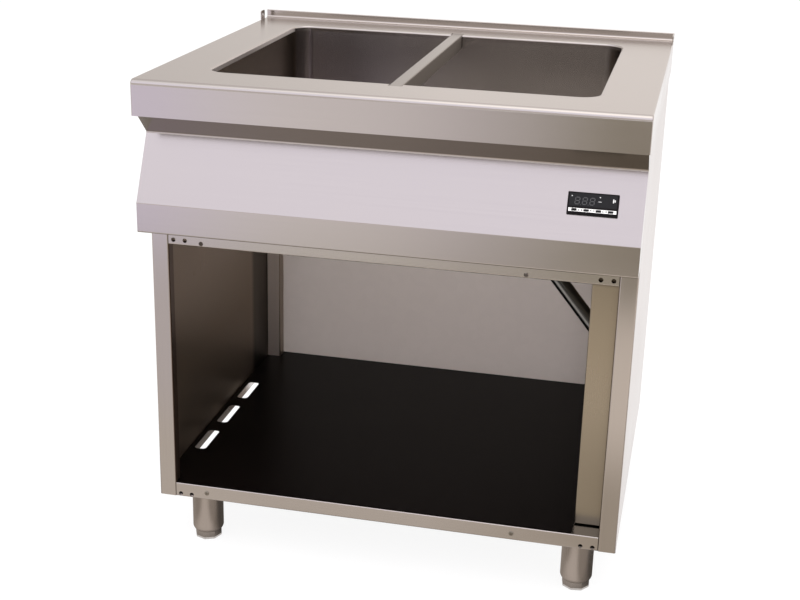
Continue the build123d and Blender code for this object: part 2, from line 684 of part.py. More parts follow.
def shelf_bearer():
    """A channel from front to back, under the middle of the shelf."""
    half = CROSS_MEMBER_WIDTH / 2
    middle = (DUCT_X - SKIN) / 2
    points = [
        (middle - half, CABINET_BOTTOM),
        (middle - half, RAIL_TOP),
        (middle + half, RAIL_TOP),
        (middle + half, CABINET_BOTTOM),
    ]
    section = folded(points, SHEET_BEND, Side.RIGHT)
    start = CABINET_FRONT + RAIL_TOP_RETURN - SHEET
    length = CABINET_BACK - JOINT_GAP - RAIL_TOP_RETURN + SHEET - start
    return extrude(Plane(origin=(0, start, 0), x_dir=(1, 0, 0), z_dir=(0, -1, 0)) * section, amount=-length)


def gusset(x, y):
    """A corner plate for a leg, run out to the rails and the side ledge."""
    sx, sy = math.copysign(1, x), math.copysign(1, y)
    half = GUSSET_SIZE / 2
    rail_side = CABINET_FRONT if y < 0 else CABINET_BACK - JOINT_GAP
    x0, x1 = sorted((x - sx * half, sx * (POST_INNER - JOINT_GAP)))
    y0, y1 = sorted((rail_side + SHEET * -sy, y - sy * half))
    plate = block(x0, x1, y0, y1, CABINET_BOTTOM, CABINET_BOTTOM + GUSSET_THICK)
    a0, a1 = sorted((sx * (POST_INNER - JOINT_GAP), sx * SKIN))
    b0, b1 = sorted((POST_BACK + JOINT_GAP if y < 0 else REAR_POST_FRONT - JOINT_GAP, y - sy * half))
    return plate + block(a0, a1, b0, b1, CABINET_BOTTOM, CABINET_BOTTOM + GUSSET_THICK)


def bolt_places(x, y):
    half = LEG_BOLT_SPAN / 2
    return [(x + i * half, y + j * half) for i in (-1, 1) for j in (-1, 1)]


def bottom_shelf():
    right = DUCT_X - JOINT_GAP
    left = -SKIN + JOINT_GAP
    y0 = CABINET_FRONT + SHELF_FRONT_REVEAL
    y1 = CABINET_BACK - JOINT_GAP
    shelf = block(left, right, y0, y1, RAIL_TOP, SHELF_TOP)
    notch = -POST_INNER + JOINT_GAP
    shelf -= block(left, notch, y0, POST_BACK + JOINT_GAP, RAIL_TOP, SHELF_TOP)
    shelf -= block(left, notch, REAR_POST_FRONT - JOINT_GAP, y1, RAIL_TOP, SHELF_TOP)
    for index in range(SLOT_COUNT):
        middle = CABINET_FRONT + SLOT_FIRST + index * SLOT_PITCH + SLOT_LENGTH / 2
        slot = Pos(-SIDE + SLOT_INSET, middle) * RectangleRounded(SLOT_WIDTH, SLOT_LENGTH, SLOT_CORNER_RADIUS)
        shelf -= upright(slot, RAIL_TOP, SHELF_TOP)
    return shelf


def rail_rivets():
    """Blind rivets, each with the hole that its mandrel leaves."""
    rivets = []
    for x, is_latch in door_hole_places():
        if is_latch:
            centre = (x, CABINET_FRONT, CABINET_BOTTOM + RIVET_RISE)
            seat = Plane(origin=centre, x_dir=(1, 0, 0), z_dir=(0, -1, 0))
            head = extrude(seat * Circle(SCREW_HEAD_RADIUS), amount=SCREW_HEAD_THICK)
            head = chamfer(head.faces().sort_by(Axis.Y)[0].edges(), SCREW_HEAD_THICK / 2)
            head -= extrude(seat * Circle(RIVET_BORE_RADIUS), amount=SCREW_HEAD_THICK)
            rivets.append(head + extrude(seat * Circle(SCREW_RADIUS), amount=-2 * SHEET))
    return group(rivets)


def undercover():
    """The tray that closes the technical space from below."""
    points = [
        (-POST_INNER, BAND_BOTTOM + UNDERCOVER_FLANGE),
        (-POST_INNER, BAND_BOTTOM),
        (POST_INNER, BAND_BOTTOM),
        (POST_INNER, BAND_BOTTOM + UNDERCOVER_FLANGE),
    ]
    section = folded(points, SHEET_BEND, Side.LEFT)
    length = CABINET_BACK - JOINT_GAP - UNDERCOVER_FRONT
    plane = Plane(origin=(0, UNDERCOVER_FRONT, 0), x_dir=(1, 0, 0), z_dir=(0, -1, 0))
    tray = extrude(plane * section, amount=-length)
    pipe = Pos(DRAIN_X, DRAIN_Y) * Circle(PIPE_RADIUS + UNDERCOVER_HOLE_CLEARANCE)
    gland = Pos(POST_INNER - GLAND_INSET, FRONT + GLAND_SETBACK) * Circle(GLAND_THREAD_RADIUS + GLAND_CLEARANCE)
    for hole in (pipe, gland):
        tray -= upright(hole, BAND_BOTTOM, BAND_BOTTOM + SHEET)
    return tray


def service_duct():
    """A channel along the right side panel that hides the drain and supply lines."""
    points = [
        (SKIN, DUCT_FRONT + DUCT_FLANGE),
        (SKIN, DUCT_FRONT),
        (DUCT_X, DUCT_FRONT),
        (DUCT_X, DUCT_BACK),
        (SKIN, DUCT_BACK),
        (SKIN, DUCT_BACK - DUCT_FLANGE),
    ]
    duct = upright(folded(points, SHEET_BEND, Side.RIGHT), RAIL_TOP + DUCT_FLOOR_GAP, DUCT_TOP)
    entry = WASTE_START + DRAIN_DIRECTION * ((DUCT_X - WASTE_START.X) / DRAIN_DIRECTION.X)
    width = 2 * (WASTE_RADIUS + WASTE_DUCT_CLEARANCE)
    height = width / math.sin(math.radians(DRAIN_TILT))
    window = Plane(origin=entry, x_dir=(0, 0, 1), z_dir=(1, 0, 0)) * SlotOverall(height, width)
    return duct - extrude(window, amount=4 * SHEET, both=True)


def support_angle(sign):
    """The angle that carries one side of the worktop on the side panel."""
    outer = SKIN
    inner = outer - ANGLE_THICK
    y0 = POST_BACK + JOINT_GAP
    y1 = REAR_POST_FRONT - JOINT_GAP
    low = NOSING_BOTTOM - ANGLE_DROP
    angle = block(inner, outer, y0, y1, low, UNDERSIDE - SIDE_EDGE_RADIUS)
    angle += block(outer - ANGLE_LEG, inner, y0, y1, UNDERSIDE - ANGLE_THICK, UNDERSIDE)
    slope = [
        (outer, UNDERSIDE - SIDE_EDGE_RADIUS),
        (outer - SIDE_EDGE_RADIUS, UNDERSIDE),
        (outer - ANGLE_LEG / 2, UNDERSIDE),
        (outer - ANGLE_LEG / 2, UNDERSIDE - ANGLE_THICK),
        (inner - ANGLE_THICK, UNDERSIDE - ANGLE_THICK),
        (inner, UNDERSIDE - 2 * ANGLE_THICK),
        (inner, UNDERSIDE - 2 * ANGLE_THICK - SIDE_EDGE_RADIUS),
        (outer, UNDERSIDE - 2 * ANGLE_THICK - SIDE_EDGE_RADIUS),
    ]
    corner = make_face(Polyline(*slope, close=True))
    plane = Plane(origin=(0, y0, 0), x_dir=(1, 0, 0), z_dir=(0, -1, 0))
    angle += extrude(plane * corner, amount=y0 - y1)
    return angle if sign > 0 else mirror(angle, about=Plane.YZ)


def drain_elbow():
    """The outlet pipe welded in the well floor, bent towards the valve."""
    top = Vector(DRAIN_X, DRAIN_Y, WELL_FLOOR)
    path = FilletPolyline(top, DRAIN_CORNER, VALVE_START, radius=PIPE_BEND)
    section = Plane(origin=top, z_dir=(0, 0, -1))
    pipe = sweep(section * Circle(PIPE_RADIUS), path=path)
    collar = Plane.XY.offset(TANK_UNDERSIDE - PIPE_COLLAR_THICK) * Pos(DRAIN_X, DRAIN_Y)
    pipe += extrude(collar * Circle(PIPE_COLLAR_RADIUS), amount=PIPE_COLLAR_THICK)
    return pipe - sweep(section * Circle(PIPE_RADIUS - PIPE_WALL), path=path)


def valve_plane(distance):
    """The plane across the drain line, at a distance from the valve's inlet, with its Y to the front."""
    origin = VALVE_START + DRAIN_DIRECTION * distance
    return Plane(origin=origin, x_dir=lever_direction(), z_dir=DRAIN_DIRECTION)


def lever_direction():
    """The closed lever points down to the left, across the drain line."""
    return Vector(DRAIN_DIRECTION.Z, 0, -DRAIN_DIRECTION.X)


def stem_plane(distance):
    """The plane across the valve stem, at a distance in front of the drain line."""
    origin = VALVE_CENTRE + Vector(0, -distance, 0)
    return Plane(origin=origin, x_dir=lever_direction(), z_dir=(0, -1, 0))


def drain_valve_body():
    """A ball valve: hexagon ends, a round middle, a neck for the stem and a tail for the waste pipe."""
    body = extrude(valve_plane(0) * hexagon(VALVE_FLATS), amount=VALVE_END_LENGTH)
    low_end = VALVE_LENGTH - VALVE_END_LENGTH
    body += extrude(valve_plane(low_end) * hexagon(VALVE_FLATS), amount=VALVE_END_LENGTH)
    middle = extrude(valve_plane(VALVE_END_LENGTH) * Circle(VALVE_RADIUS), amount=low_end - VALVE_END_LENGTH)
    body += middle
    body += extrude(stem_plane(0) * Circle(VALVE_NECK_RADIUS), amount=VALVE_NECK_LENGTH)
    body += extrude(valve_plane(VALVE_LENGTH) * Circle(TAIL_RADIUS), amount=TAIL_LENGTH)
    body -= extrude(valve_plane(0) * Circle(VALVE_BORE_RADIUS - PIPE_WALL), amount=VALVE_LENGTH + TAIL_LENGTH)
    body -= Pos(VALVE_CENTRE) * Sphere(BALL_RADIUS + BALL_CLEARANCE)
    return body - extrude(stem_plane(0) * Circle(STEM_RADIUS + STEM_RUNNING_FIT), amount=VALVE_NECK_LENGTH)


def drain_valve_ball():
    """The ball, drawn closed: its bore lies along the lever."""
    ball = Pos(VALVE_CENTRE) * Sphere(BALL_RADIUS)
    bore = Plane(origin=VALVE_CENTRE, z_dir=lever_direction()) * Circle(VALVE_BORE_RADIUS - PIPE_WALL)
    ball -= extrude(bore, amount=BALL_RADIUS, both=True)
    return ball - extrude(stem_plane(BALL_RADIUS - ANGLE_THICK) * Circle(STEM_RADIUS * 2), amount=ANGLE_THICK)


def drain_valve_lever():
    """The stem and the flat hand lever on it."""
    seat = BALL_RADIUS - ANGLE_THICK
    top = VALVE_NECK_LENGTH + LEVER_GAP + LEVER_THICK
    lever = extrude(stem_plane(seat) * Circle(STEM_RADIUS), amount=top + ANGLE_THICK - seat)
    blade = Circle(LEVER_WIDTH / 2 + ANGLE_THICK)
    blade += Pos(LEVER_LENGTH / 2, 0) * Rectangle(LEVER_LENGTH, LEVER_WIDTH)
    return lever + extrude(stem_plane(top - LEVER_THICK) * blade, amount=LEVER_THICK)


def drain_lever_grip():
    """The moulded sleeve on the lever's end."""
    middle = VALVE_NECK_LENGTH + LEVER_GAP + LEVER_THICK / 2
    height = LEVER_THICK + 2 * GRIP_WALL
    reach = LEVER_LENGTH + GRIP_WALL
    outline = RectangleRounded(GRIP_LENGTH, LEVER_WIDTH + 2 * GRIP_WALL, GRIP_WALL * 2)
    outline = Pos(reach - GRIP_LENGTH / 2, 0) * outline
    sleeve = extrude(stem_plane(middle - height / 2) * outline, amount=height)
    sleeve = chamfer(sleeve.edges().filter_by(Axis.Y, reverse=True), GRIP_WALL / 2)
    pocket = Pos(LEVER_LENGTH / 2, 0) * Rectangle(LEVER_LENGTH, LEVER_WIDTH)
    return sleeve - extrude(stem_plane(middle - LEVER_THICK / 2) * pocket, amount=LEVER_THICK)


def drain_pipe():
    """The waste pipe from the valve into the duct, and down to the outlet."""
    path = FilletPolyline(WASTE_START, WASTE_CORNER, WASTE_END, radius=WASTE_BEND)
    section = Plane(origin=WASTE_START, z_dir=DRAIN_DIRECTION)
    pipe = sweep(section * Circle(WASTE_RADIUS), path=path)
    return pipe - sweep(section * Circle(WASTE_BORE_RADIUS), path=path)


def pipe_coupling(plane):
    """A ribbed compression nut over one end of the waste pipe."""
    outline = RegularPolygon(COUPLING_FLATS / 2, COUPLING_SIDES, major_radius=False)
    nut = extrude(plane * outline, amount=COUPLING_LENGTH)
    nut = chamfer(nut.faces().sort_by(Axis(plane.origin, plane.z_dir))[-1].edges(), COUPLING_CHAMFER)
    return nut - extrude(plane * Circle(WASTE_RADIUS + COUPLING_CLEARANCE), amount=COUPLING_LENGTH)


def pipe_couplings():
    upper = Plane(origin=WASTE_START, z_dir=DRAIN_DIRECTION)
    lower = Plane(origin=WASTE_END, z_dir=(0, 0, 1))
    return group([pipe_coupling(upper), pipe_coupling(lower)])


def drain_outlet():
    """The outlet through the base, with a tail for the waste pipe and a bare end for the building's drain."""
    end = CABINET_BOTTOM - OUTLET_BELOW_BASE
    axis = Pos(DUCT_MIDDLE, DRAIN_Y)
    pipe = upright(axis * Circle(PIPE_RADIUS), end, RAIL_TOP - OUTLET_THREAD_LENGTH)
    pipe += upright(axis * Circle(OUTLET_THREAD_RADIUS), RAIL_TOP - OUTLET_THREAD_LENGTH, RAIL_TOP)
    pipe += upright(axis * Circle(OUTLET_COLLAR_RADIUS), RAIL_TOP, RAIL_TOP + OUTLET_COLLAR_THICK)
    pipe += upright(axis * Circle(PIPE_RADIUS), RAIL_TOP + OUTLET_COLLAR_THICK, WASTE_END.Z - JOINT_GAP)
    pipe += upright(axis * Circle(TAIL_RADIUS), WASTE_END.Z - JOINT_GAP, OUTLET_TOP)
    return pipe - upright(axis * Circle(VALVE_BORE_RADIUS - PIPE_WALL), end, OUTLET_TOP)


def outlet_locknut():
    axis = Pos(DUCT_MIDDLE, DRAIN_Y)
    top = RAIL_TOP - SHEET
    ring = hexagon(OUTLET_NUT_FLATS) - Circle(OUTLET_THREAD_RADIUS + OUTLET_CLEARANCE)
    return upright(axis * ring, top - OUTLET_NUT_THICK, top)


def heating_element(sign):
    """A tube bent to and fro under one half of the well."""
    near = WELL_FRONT + ELEMENT_FRONT_MARGIN
    turn = WELL_FRONT + ELEMENT_TURN_MARGIN
    far = WELL_BACK - ELEMENT_BACK_MARGIN
    flat = []
    for index, run in enumerate(INNER_RUNS + OUTER_RUNS):
        ends = [near if index in (0, ELEMENT_RUNS - 1) else turn, far]
        flat += [(sign * run, y) for y in (ends[::-1] if index % 2 else ends)]
    path = FilletPolyline(*[(x, y, ELEMENT_Z) for x, y in flat], radius=ELEMENT_BEND)
    return sweep(Plane(origin=path @ 0, z_dir=path % 0) * Circle(ELEMENT_RADIUS), path=path)


def element_terminals():
    terminals = []
    near = WELL_FRONT + ELEMENT_FRONT_MARGIN
    for sign in (-1, 1):
        for run in (ELEMENT_FIRST, ELEMENT_LAST):
            plane = Plane(origin=(sign * run, near, ELEMENT_Z), x_dir=(1, 0, 0), z_dir=(0, -1, 0))
            bush = extrude(plane * Circle(ELEMENT_RADIUS), amount=TERMINAL_LENGTH)
            stud = extrude(plane * Circle(TERMINAL_STUD_RADIUS), amount=TERMINAL_LENGTH + TERMINAL_STUD_LENGTH)
            terminals.append(bush + stud)
    return group(terminals)


def stud_places():
    """Weld stud centres under the tank floor: between the element runs and at the middle."""
    outer = ELEMENT_LAST - ELEMENT_PITCH / 2
    return [(x, WELL_FRONT + setback) for x in (-outer, 0, outer) for setback in CLAMP_BAR_SETBACKS]


def element_clamp_bars():
    bars = []
    for setback in CLAMP_BAR_SETBACKS:
        y = WELL_FRONT + setback
        length = WELL_WIDTH - 2 * ELEMENT_SIDE_MARGIN + 2 * CLAMP_BAR_OVERHANG
        outline = Pos(0, y) * Rectangle(length, CLAMP_BAR_WIDTH)
        for place in stud_places():
            if place[1] == y:
                outline -= Pos(*place) * Circle(STUD_RADIUS + STUD_CLEARANCE)
        bars.append(upright(outline, CLAMP_BAR_TOP - CLAMP_BAR_THICK, CLAMP_BAR_TOP))
    return group(bars)


def clamp_studs():
    low = CLAMP_BAR_TOP - CLAMP_BAR_THICK - STUD_TAIL
    return group(upright(Pos(*place) * Circle(STUD_RADIUS), low, TANK_UNDERSIDE) for place in stud_places())


def clamp_nuts():
    top = CLAMP_BAR_TOP - CLAMP_BAR_THICK
    ring = hexagon(NUT_FLATS) - Circle(STUD_RADIUS + STUD_CLEARANCE / 2)
    return group(upright(Pos(*place) * ring, top - NUT_THICK, top) for place in stud_places())


def probe_sleeve(offset_y):
    """A sensor sleeve that lies against the tank floor."""
    z = TANK_UNDERSIDE - PROBE_RADIUS - ELEMENT_GAP
    start = Vector(PROBE_X - PROBE_LENGTH / 2, WELL_FRONT + PROBE_SETBACK + offset_y, z)
    return rod(PROBE_RADIUS, start, start + Vector(PROBE_LENGTH, 0, 0))


def probe_clips():
    """A strap over each sensor sleeve, spot-welded to the tank floor."""
    clips = []
    inner = PROBE_RADIUS + ELEMENT_GAP
    outer = inner + PROBE_CLIP_THICK
    depth = 2 * inner
    for offset_y in (0, PROBE_SPACING):
        y = WELL_FRONT + PROBE_SETBACK + offset_y
        strap = Rectangle(2 * outer, depth + PROBE_CLIP_THICK, align=(Align.CENTER, Align.MAX))
        strap += Rectangle(2 * (outer + PROBE_CLIP_WING), PROBE_CLIP_THICK, align=(Align.CENTER, Align.MAX))
        strap -= Rectangle(2 * inner, depth, align=(Align.CENTER, Align.MAX))
        place = Pos(y, TANK_UNDERSIDE) * strap
        clips.append(along_x(place, PROBE_X - PROBE_CLIP_LENGTH / 2, PROBE_X + PROBE_CLIP_LENGTH / 2))
    return group(clips)


PLATE_FACE = SKIN - PLATE_THICK
PLATE_FRONT = FRONT + PLATE_SETBACK
PLATE_LOW = BAND_BOTTOM + PLATE_RISE
DEVICE_GAP = 24.0


def electrical_plate():
    return block(PLATE_FACE, SKIN, PLATE_FRONT, PLATE_FRONT + PLATE_LENGTH, PLATE_LOW, PLATE_LOW + PLATE_HEIGHT)


def device(size, y0, step):
    """A device on the plate: a stepped housing with a raised middle."""
    depth, length, height = size
    z0 = PLATE_LOW + (PLATE_HEIGHT - height) / 2
    base = block(PLATE_FACE - depth * 0.55, PLATE_FACE, y0, y0 + length, z0, z0 + height)
    front = block(PLATE_FACE - depth, PLATE_FACE, y0, y0 + length, z0 + height * step, z0 + height * (1 - step))
    body = base + front
    return fillet(body.edges().filter_by(Axis.Y), SHEET_BEND / 2)


CONTACTOR_FRONT = PLATE_FRONT + DEVICE_GAP
BLOCK_FRONT = CONTACTOR_FRONT + CONTACTOR[1] + DEVICE_GAP
THERMOSTAT_FRONT = BLOCK_FRONT + TERMINAL_BLOCK[1] + DEVICE_GAP
BLOCK_WAYS = 6


def contactor():
    return device(CONTACTOR, CONTACTOR_FRONT, 0.2)


def terminal_block():
    """A row of terminals, each with an entry hole for its screw."""
    body = device(TERMINAL_BLOCK, BLOCK_FRONT, 0.25)
    pitch = TERMINAL_BLOCK[1] / BLOCK_WAYS
    middle = PLATE_LOW + PLATE_HEIGHT / 2
    for way in range(BLOCK_WAYS):
        y = BLOCK_FRONT + (way + 0.5) * pitch
        start = Plane(origin=(PLATE_FACE - TERMINAL_BLOCK[0], y, middle), z_dir=(1, 0, 0))
        body -= extrude(start * Circle(pitch / 4), amount=TERMINAL_BLOCK[0] / 2)
    return body


def safety_thermostat():
    """A round limiter body on a square foot."""
    depth, length, height = THERMOSTAT
    y = THERMOSTAT_FRONT + length / 2
    z = PLATE_LOW + PLATE_HEIGHT / 2
    foot = block(
        PLATE_FACE - depth / 3, PLATE_FACE, y - length / 2, y + length / 2, z - height / 2, z + height / 2
    )
    foot = fillet(foot.edges().filter_by(Axis.X), SHEET_BEND * 2)
    start = Plane(origin=(PLATE_FACE - depth / 3, y, z), z_dir=(-1, 0, 0))
    return foot + extrude(start * Circle(length * 0.4), amount=depth * 2 / 3)


def cable_gland():
    """The supply inlet, under the tray and above the duct."""
    axis = Pos(POST_INNER - GLAND_INSET, FRONT + GLAND_SETBACK)
    low = BAND_BOTTOM - GLAND_BODY_LENGTH
    body = upright(axis * hexagon(GLAND_FLATS), low + GLAND_BODY_LENGTH / 2, BAND_BOTTOM)
    dome = upright(axis * Circle(GLAND_FLATS / 2 - SHEET), low, low + GLAND_BODY_LENGTH / 2)
    body += fillet(dome.faces().sort_by(Axis.Z)[0].edges(), SHEET_BEND)
    top = BAND_BOTTOM + SHEET + GLAND_NUT_THICK + SHEET
    body += upright(axis * Circle(GLAND_THREAD_RADIUS), BAND_BOTTOM, top)
    return body - upright(axis * Circle(GLAND_BORE_RADIUS), low, top)


def gland_locknut():
    axis = Pos(POST_INNER - GLAND_INSET, FRONT + GLAND_SETBACK)
    ring = hexagon(GLAND_FLATS) - Circle(GLAND_THREAD_RADIUS + GLAND_CLEARANCE / 2)
    low = BAND_BOTTOM + SHEET
    return upright(axis * ring, low, low + GLAND_NUT_THICK)


def leg(x, y):
    """A tube with a bolted head plate, a drawn-in lower end and a plug that guides the foot's stud."""
    low = LEG_END_HEIGHT
    taper_top = low + LEG_TAPER_HEIGHT
    high = CABINET_BOTTOM - LEG_PLATE_THICK
    bore = FOOT_STUD_RADIUS + FOOT_RUNNING_FIT
    inside = LEG_RADIUS - LEG_WALL
    plug_top = low + LEG_PLUG_HEIGHT
    with BuildSketch() as section:
        with BuildLine():
            Polyline((bore, low), (LEG_TAPER_RADIUS, low))
            RadiusArc((LEG_TAPER_RADIUS, low), (LEG_RADIUS, taper_top), -2 * LEG_TAPER_HEIGHT)
            Polyline((LEG_RADIUS, taper_top), (LEG_RADIUS, high), (inside, high), (inside, plug_top))
            Polyline((inside, plug_top), (bore, plug_top), (bore, low))
        make_face()
    tube = revolve(Plane.XZ * section.sketch, axis=Axis.Z)
    plate = RectangleRounded(LEG_PLATE, LEG_PLATE, LEG_PLATE / 10)
    for place in bolt_places(0, 0):
        plate -= Pos(*place) * Circle(BOLT_RADIUS + BOLT_CLEARANCE)
    return Pos(x, y) * (tube + upright(plate, high, CABINET_BOTTOM))


def foot(x, y, turn):
    """An octagonal foot on a screw stud, drawn screwed right in and left at some turn of its thread."""
    top = LEG_END_HEIGHT - FOOT_GAP
    base = upright(RegularPolygon(FOOT_FLATS / 2, 8, major_radius=False, rotation=turn), 0, top)
    base = chamfer(base.faces().sort_by(Axis.Z)[0].edges(), FOOT_GAP * 2)
    return Pos(x, y) * (base + upright(Circle(FOOT_STUD_RADIUS), top, top + FOOT_STUD_LENGTH))


def leg_bolts():
    seat = CABINET_BOTTOM - LEG_PLATE_THICK
    bolts = []
    for x, y in LEG_PLACES.values():
        for place in bolt_places(x, y):
            head = upright(Pos(*place) * hexagon(BOLT_HEAD_FLATS), seat - BOLT_HEAD_THICK, seat)
            bolts.append(head + upright(Pos(*place) * Circle(BOLT_RADIUS), seat, seat + BOLT_LENGTH))
    return group(bolts)


NODES = {
    "worktop": worktop(),
    "well_tank": well_tank(),
    "cross_bar": cross_bar(),
    "control_panel": control_panel(),
    "controller_case": controller_case(),
    "display_window": display_window(),
    "keypad_strip": keypad_strip(),
    "controller_clips": controller_clips(),
    "side_panel_left": side_panel(-1),
    "side_panel_right": side_panel(1),
    "back_panel": back_panel(),
    "back_panel_screws": back_panel_screws(),
    "top_front_rail": top_front_rail(),
    "base_frame": base_frame(),
    "rail_rivets": rail_rivets(),
    "bottom_shelf": bottom_shelf(),
    "undercover": undercover(),
    "service_duct": service_duct(),
    "support_angle_left": support_angle(-1),
    "support_angle_right": support_angle(1),
    "drain_elbow": drain_elbow(),
    "drain_valve_body": drain_valve_body(),
    "drain_valve_ball": drain_valve_ball(),
    "drain_valve_lever": drain_valve_lever(),
    "drain_lever_grip": drain_lever_grip(),
    "drain_pipe": drain_pipe(),
    "pipe_couplings": pipe_couplings(),
    "drain_outlet": drain_outlet(),
    "outlet_locknut": outlet_locknut(),
    "heating_element_left": heating_element(-1),
    "heating_element_right": heating_element(1),
    "element_terminals": element_terminals(),
    "element_clamp_bars": element_clamp_bars(),
    "clamp_studs": clamp_studs(),
    "clamp_nuts": clamp_nuts(),
    "temperature_probe": probe_sleeve(0),
    "limiter_bulb": probe_sleeve(PROBE_SPACING),
    "probe_clips": probe_clips(),
    "electrical_plate": electrical_plate(),
    "contactor": contactor(),
    "terminal_block": terminal_block(),
    "safety_thermostat": safety_thermostat(),
    "cable_gland": cable_gland(),
    "gland_locknut": gland_locknut(),
    "leg_bolts": leg_bolts(),
}
for index, place in enumerate(key_places()):
    NODES[f"key_{index + 1}"] = controller_key(place)
for corner, place in LEG_PLACES.items():
    NODES[f"leg_{corner}"] = leg(*place)
    NODES[f"foot_{corner}"] = foot(*place, FOOT_TURNS[corner])

os.makedirs("parts", exist_ok=True)
for name, shape in NODES.items():
    export_step(shape, f"parts/{name}.step")
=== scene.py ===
import json
import math

import bmesh
import bpy
from mathutils import Matrix, Vector


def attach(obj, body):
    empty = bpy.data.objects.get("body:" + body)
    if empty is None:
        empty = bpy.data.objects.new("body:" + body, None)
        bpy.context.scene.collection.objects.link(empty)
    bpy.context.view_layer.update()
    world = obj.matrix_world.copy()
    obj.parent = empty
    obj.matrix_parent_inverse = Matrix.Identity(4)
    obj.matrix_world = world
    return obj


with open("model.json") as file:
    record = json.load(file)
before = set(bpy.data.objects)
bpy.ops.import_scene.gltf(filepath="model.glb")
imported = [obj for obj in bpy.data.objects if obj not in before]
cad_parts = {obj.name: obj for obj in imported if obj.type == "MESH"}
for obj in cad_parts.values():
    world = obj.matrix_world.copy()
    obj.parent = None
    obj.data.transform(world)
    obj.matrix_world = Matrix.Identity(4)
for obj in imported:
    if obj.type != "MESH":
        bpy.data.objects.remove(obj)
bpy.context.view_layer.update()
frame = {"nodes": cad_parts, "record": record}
scene = bpy.context.scene
scene.view_settings.view_transform = "Standard"

# Camera: metres and degrees, with the lens and the sensor in millimetres
EYE = Vector((0.473286, -2.367966, 1.274489))
YAW, PITCH, ROLL = (math.radians(angle) for angle in (12.216, -19.802, 1.527))
LENS = 63.068
SENSOR = 36.0
CLIP_END = 200.0

# The controller's face: its middle in metres, its normal and the way up its slope
FACE_DROP, FACE_RUN = 106, 52
FACE_CENTRE = Vector((0.323, -0.322, 0.703))
FACE_NORMAL = Vector((0, -FACE_DROP, FACE_RUN)).normalized()
FACE_UP = Vector((0, FACE_RUN, FACE_DROP)).normalized()

# The controller's markings, in millimetres right, up and out of its face
MM = 0.001
GLASS = 4.0
PLATE_THICK = 0.06
PLATE_TAPER = 0.96
DIGIT_PLACES = (-23.6, -12.4, -1.2)
DIGIT_LEVEL = 4.0
DIGIT_WIDTH, DIGIT_HEIGHT = 6.4, 10.4
DIGIT_LEAN = 0.12
SEGMENT_GAP, SEGMENT_THICK = 0.35, 1.25
POINT_PLACES = (-18.4, -7.2)
POINT_LEVEL, POINT_RADIUS = -1.6, 0.6
LAMP_PLACES = ((-32, 11), (10, 11.2))
LAMP_RADIUS = 0.9
DASH_START, DASH_END, DASH_THICK = (7.6, 4.4), (13.0, 4.4), 0.9
SIGN_PLACE, SIGN_BOTTOM, SIGN_TOP, SIGN_THICK = 30.2, 3.6, 10.6, 1.7
SIGN_STEPS = ((0, 0), (2.2, 1.4))
LEGEND_PLACES = ((-18.3, 1), (0, -1), (18.3, 1))
LEGEND_LEVEL, LEGEND_ASIDE = -10, 2.4
ARROW_HALF, ARROW_FOOT, ARROW_TIP = 1.6, 1.2, 1.4
DOT_RADIUS = 1.25
DISC_SIDES = 14

# Tints that multiply a finish, most of them painted light or shade
WHITE = (1, 1, 1)
HAZE = (0.975, 0.975, 0.98)
SPANGLE_HAZE = (0.985, 0.985, 0.985)
# Painted shade: undersides, and the faces inside the cabinet, are painted darker; the inside faces also
# browner
UNDERSIDE_SHADE = (0.49, 0.47, 0.435)
INNER_SHADE = (0.48, 0.41, 0.325)
# Painted shade on the worktop's ears and upstand front, and a painted warmer reflection on the right side
EAR_SHADE = (0.55, 0.54, 0.53)
UPSTAND_SHADE = (0.93, 0.91, 0.88)
FLANK_REFLECTION = (0.93, 0.875, 0.86)
# Painted shade on the well's sides and corners, and a painted lighter, cooler reflection at its left end
CORNER_SHADE = (0.52, 0.48, 0.44)
SLIGHT_SHADE = (0.66, 0.62, 0.60)
WELL_SIDE_SHADE = (0.57, 0.49, 0.34)
WELL_LEFT_REFLECTION = (1.04, 1.05, 1.18)
FAR_CORNER_SHADE = (0.2, 0.18, 0.16)
# Painted shade in the base's corner before the service duct
NOOK_SHADE = (0.46, 0.47, 0.44)
# Painted shade and painted light inside the left panel
FOLD_SHADE = (0.42, 0.36, 0.36)
DEEP_SHADE = (0.25, 0.26, 0.25)
REAR_POST_LIGHT = (1.6, 1.55, 1.53)
# Painted shade on the cross bar's sides
BAR_SIDE_SHADE = (0.95, 0.92, 0.88)
LOW_DUCT = (1.10, 1.14, 1.24)
MID_DUCT = (1.0, 1.02, 1.06)
# Painted shadow under the feet and where the rail hides the duct
SHADOW_TONE = (0.16, 0.15, 0.14)
# Painted highlight along the waste pipe's lower flank
PIPE_HIGHLIGHT = (50, 48, 46)

# Roughness that is added to a finish, as a grey
BLACK = (0, 0, 0)
INNER_MATT = (0.1, 0.1, 0.1)
SEMI_MATT = (0.2, 0.2, 0.2)
ROUGH = (0.4, 0.4, 0.4)

# Stretches of the unit over which a tint or roughness comes in, in metres along an axis
ABOVE_TOP = (0.8502, 0.8512)
ACROSS_TOP = (-0.4, 0.4)
ACROSS_WELL = (-0.31, -0.05)
UP_DUCT = (0.1, 0.6)
BESIDE_DUCT = (0.318, 0.326)
OUTER_SKIN = (0.385, 0.395)
PAST_SKIN = (-0.386, -0.38)
PAST_FOLD = (-0.21, -0.14)
FAR_END = (0.2149, 0.2352)
BY_REAR_POST = (0.2, 0.25)
LOW_INSIDE = (0.45, 0.3)

# How far a face looks along an axis, from -1 to 1, where a tint or roughness begins and where it is full
UNDERSIDE = (-0.3, -0.75)
SOLE = (-0.2, -0.6)
LEVEL = (0.8, 0.97)
RIGHT_SIDE = (0.8, 0.97)
INNER_SIDE = (0.3, 0.7)
EAR_SIDES = (0.5, 0.8)
LIP_SIDES = (0.93, 0.995)
BAR_SIDES = (0.4, 0.8)
UPSTAND_FRONT = (-0.6, -0.95)
POST_FRONT = (-0.8, -0.95)

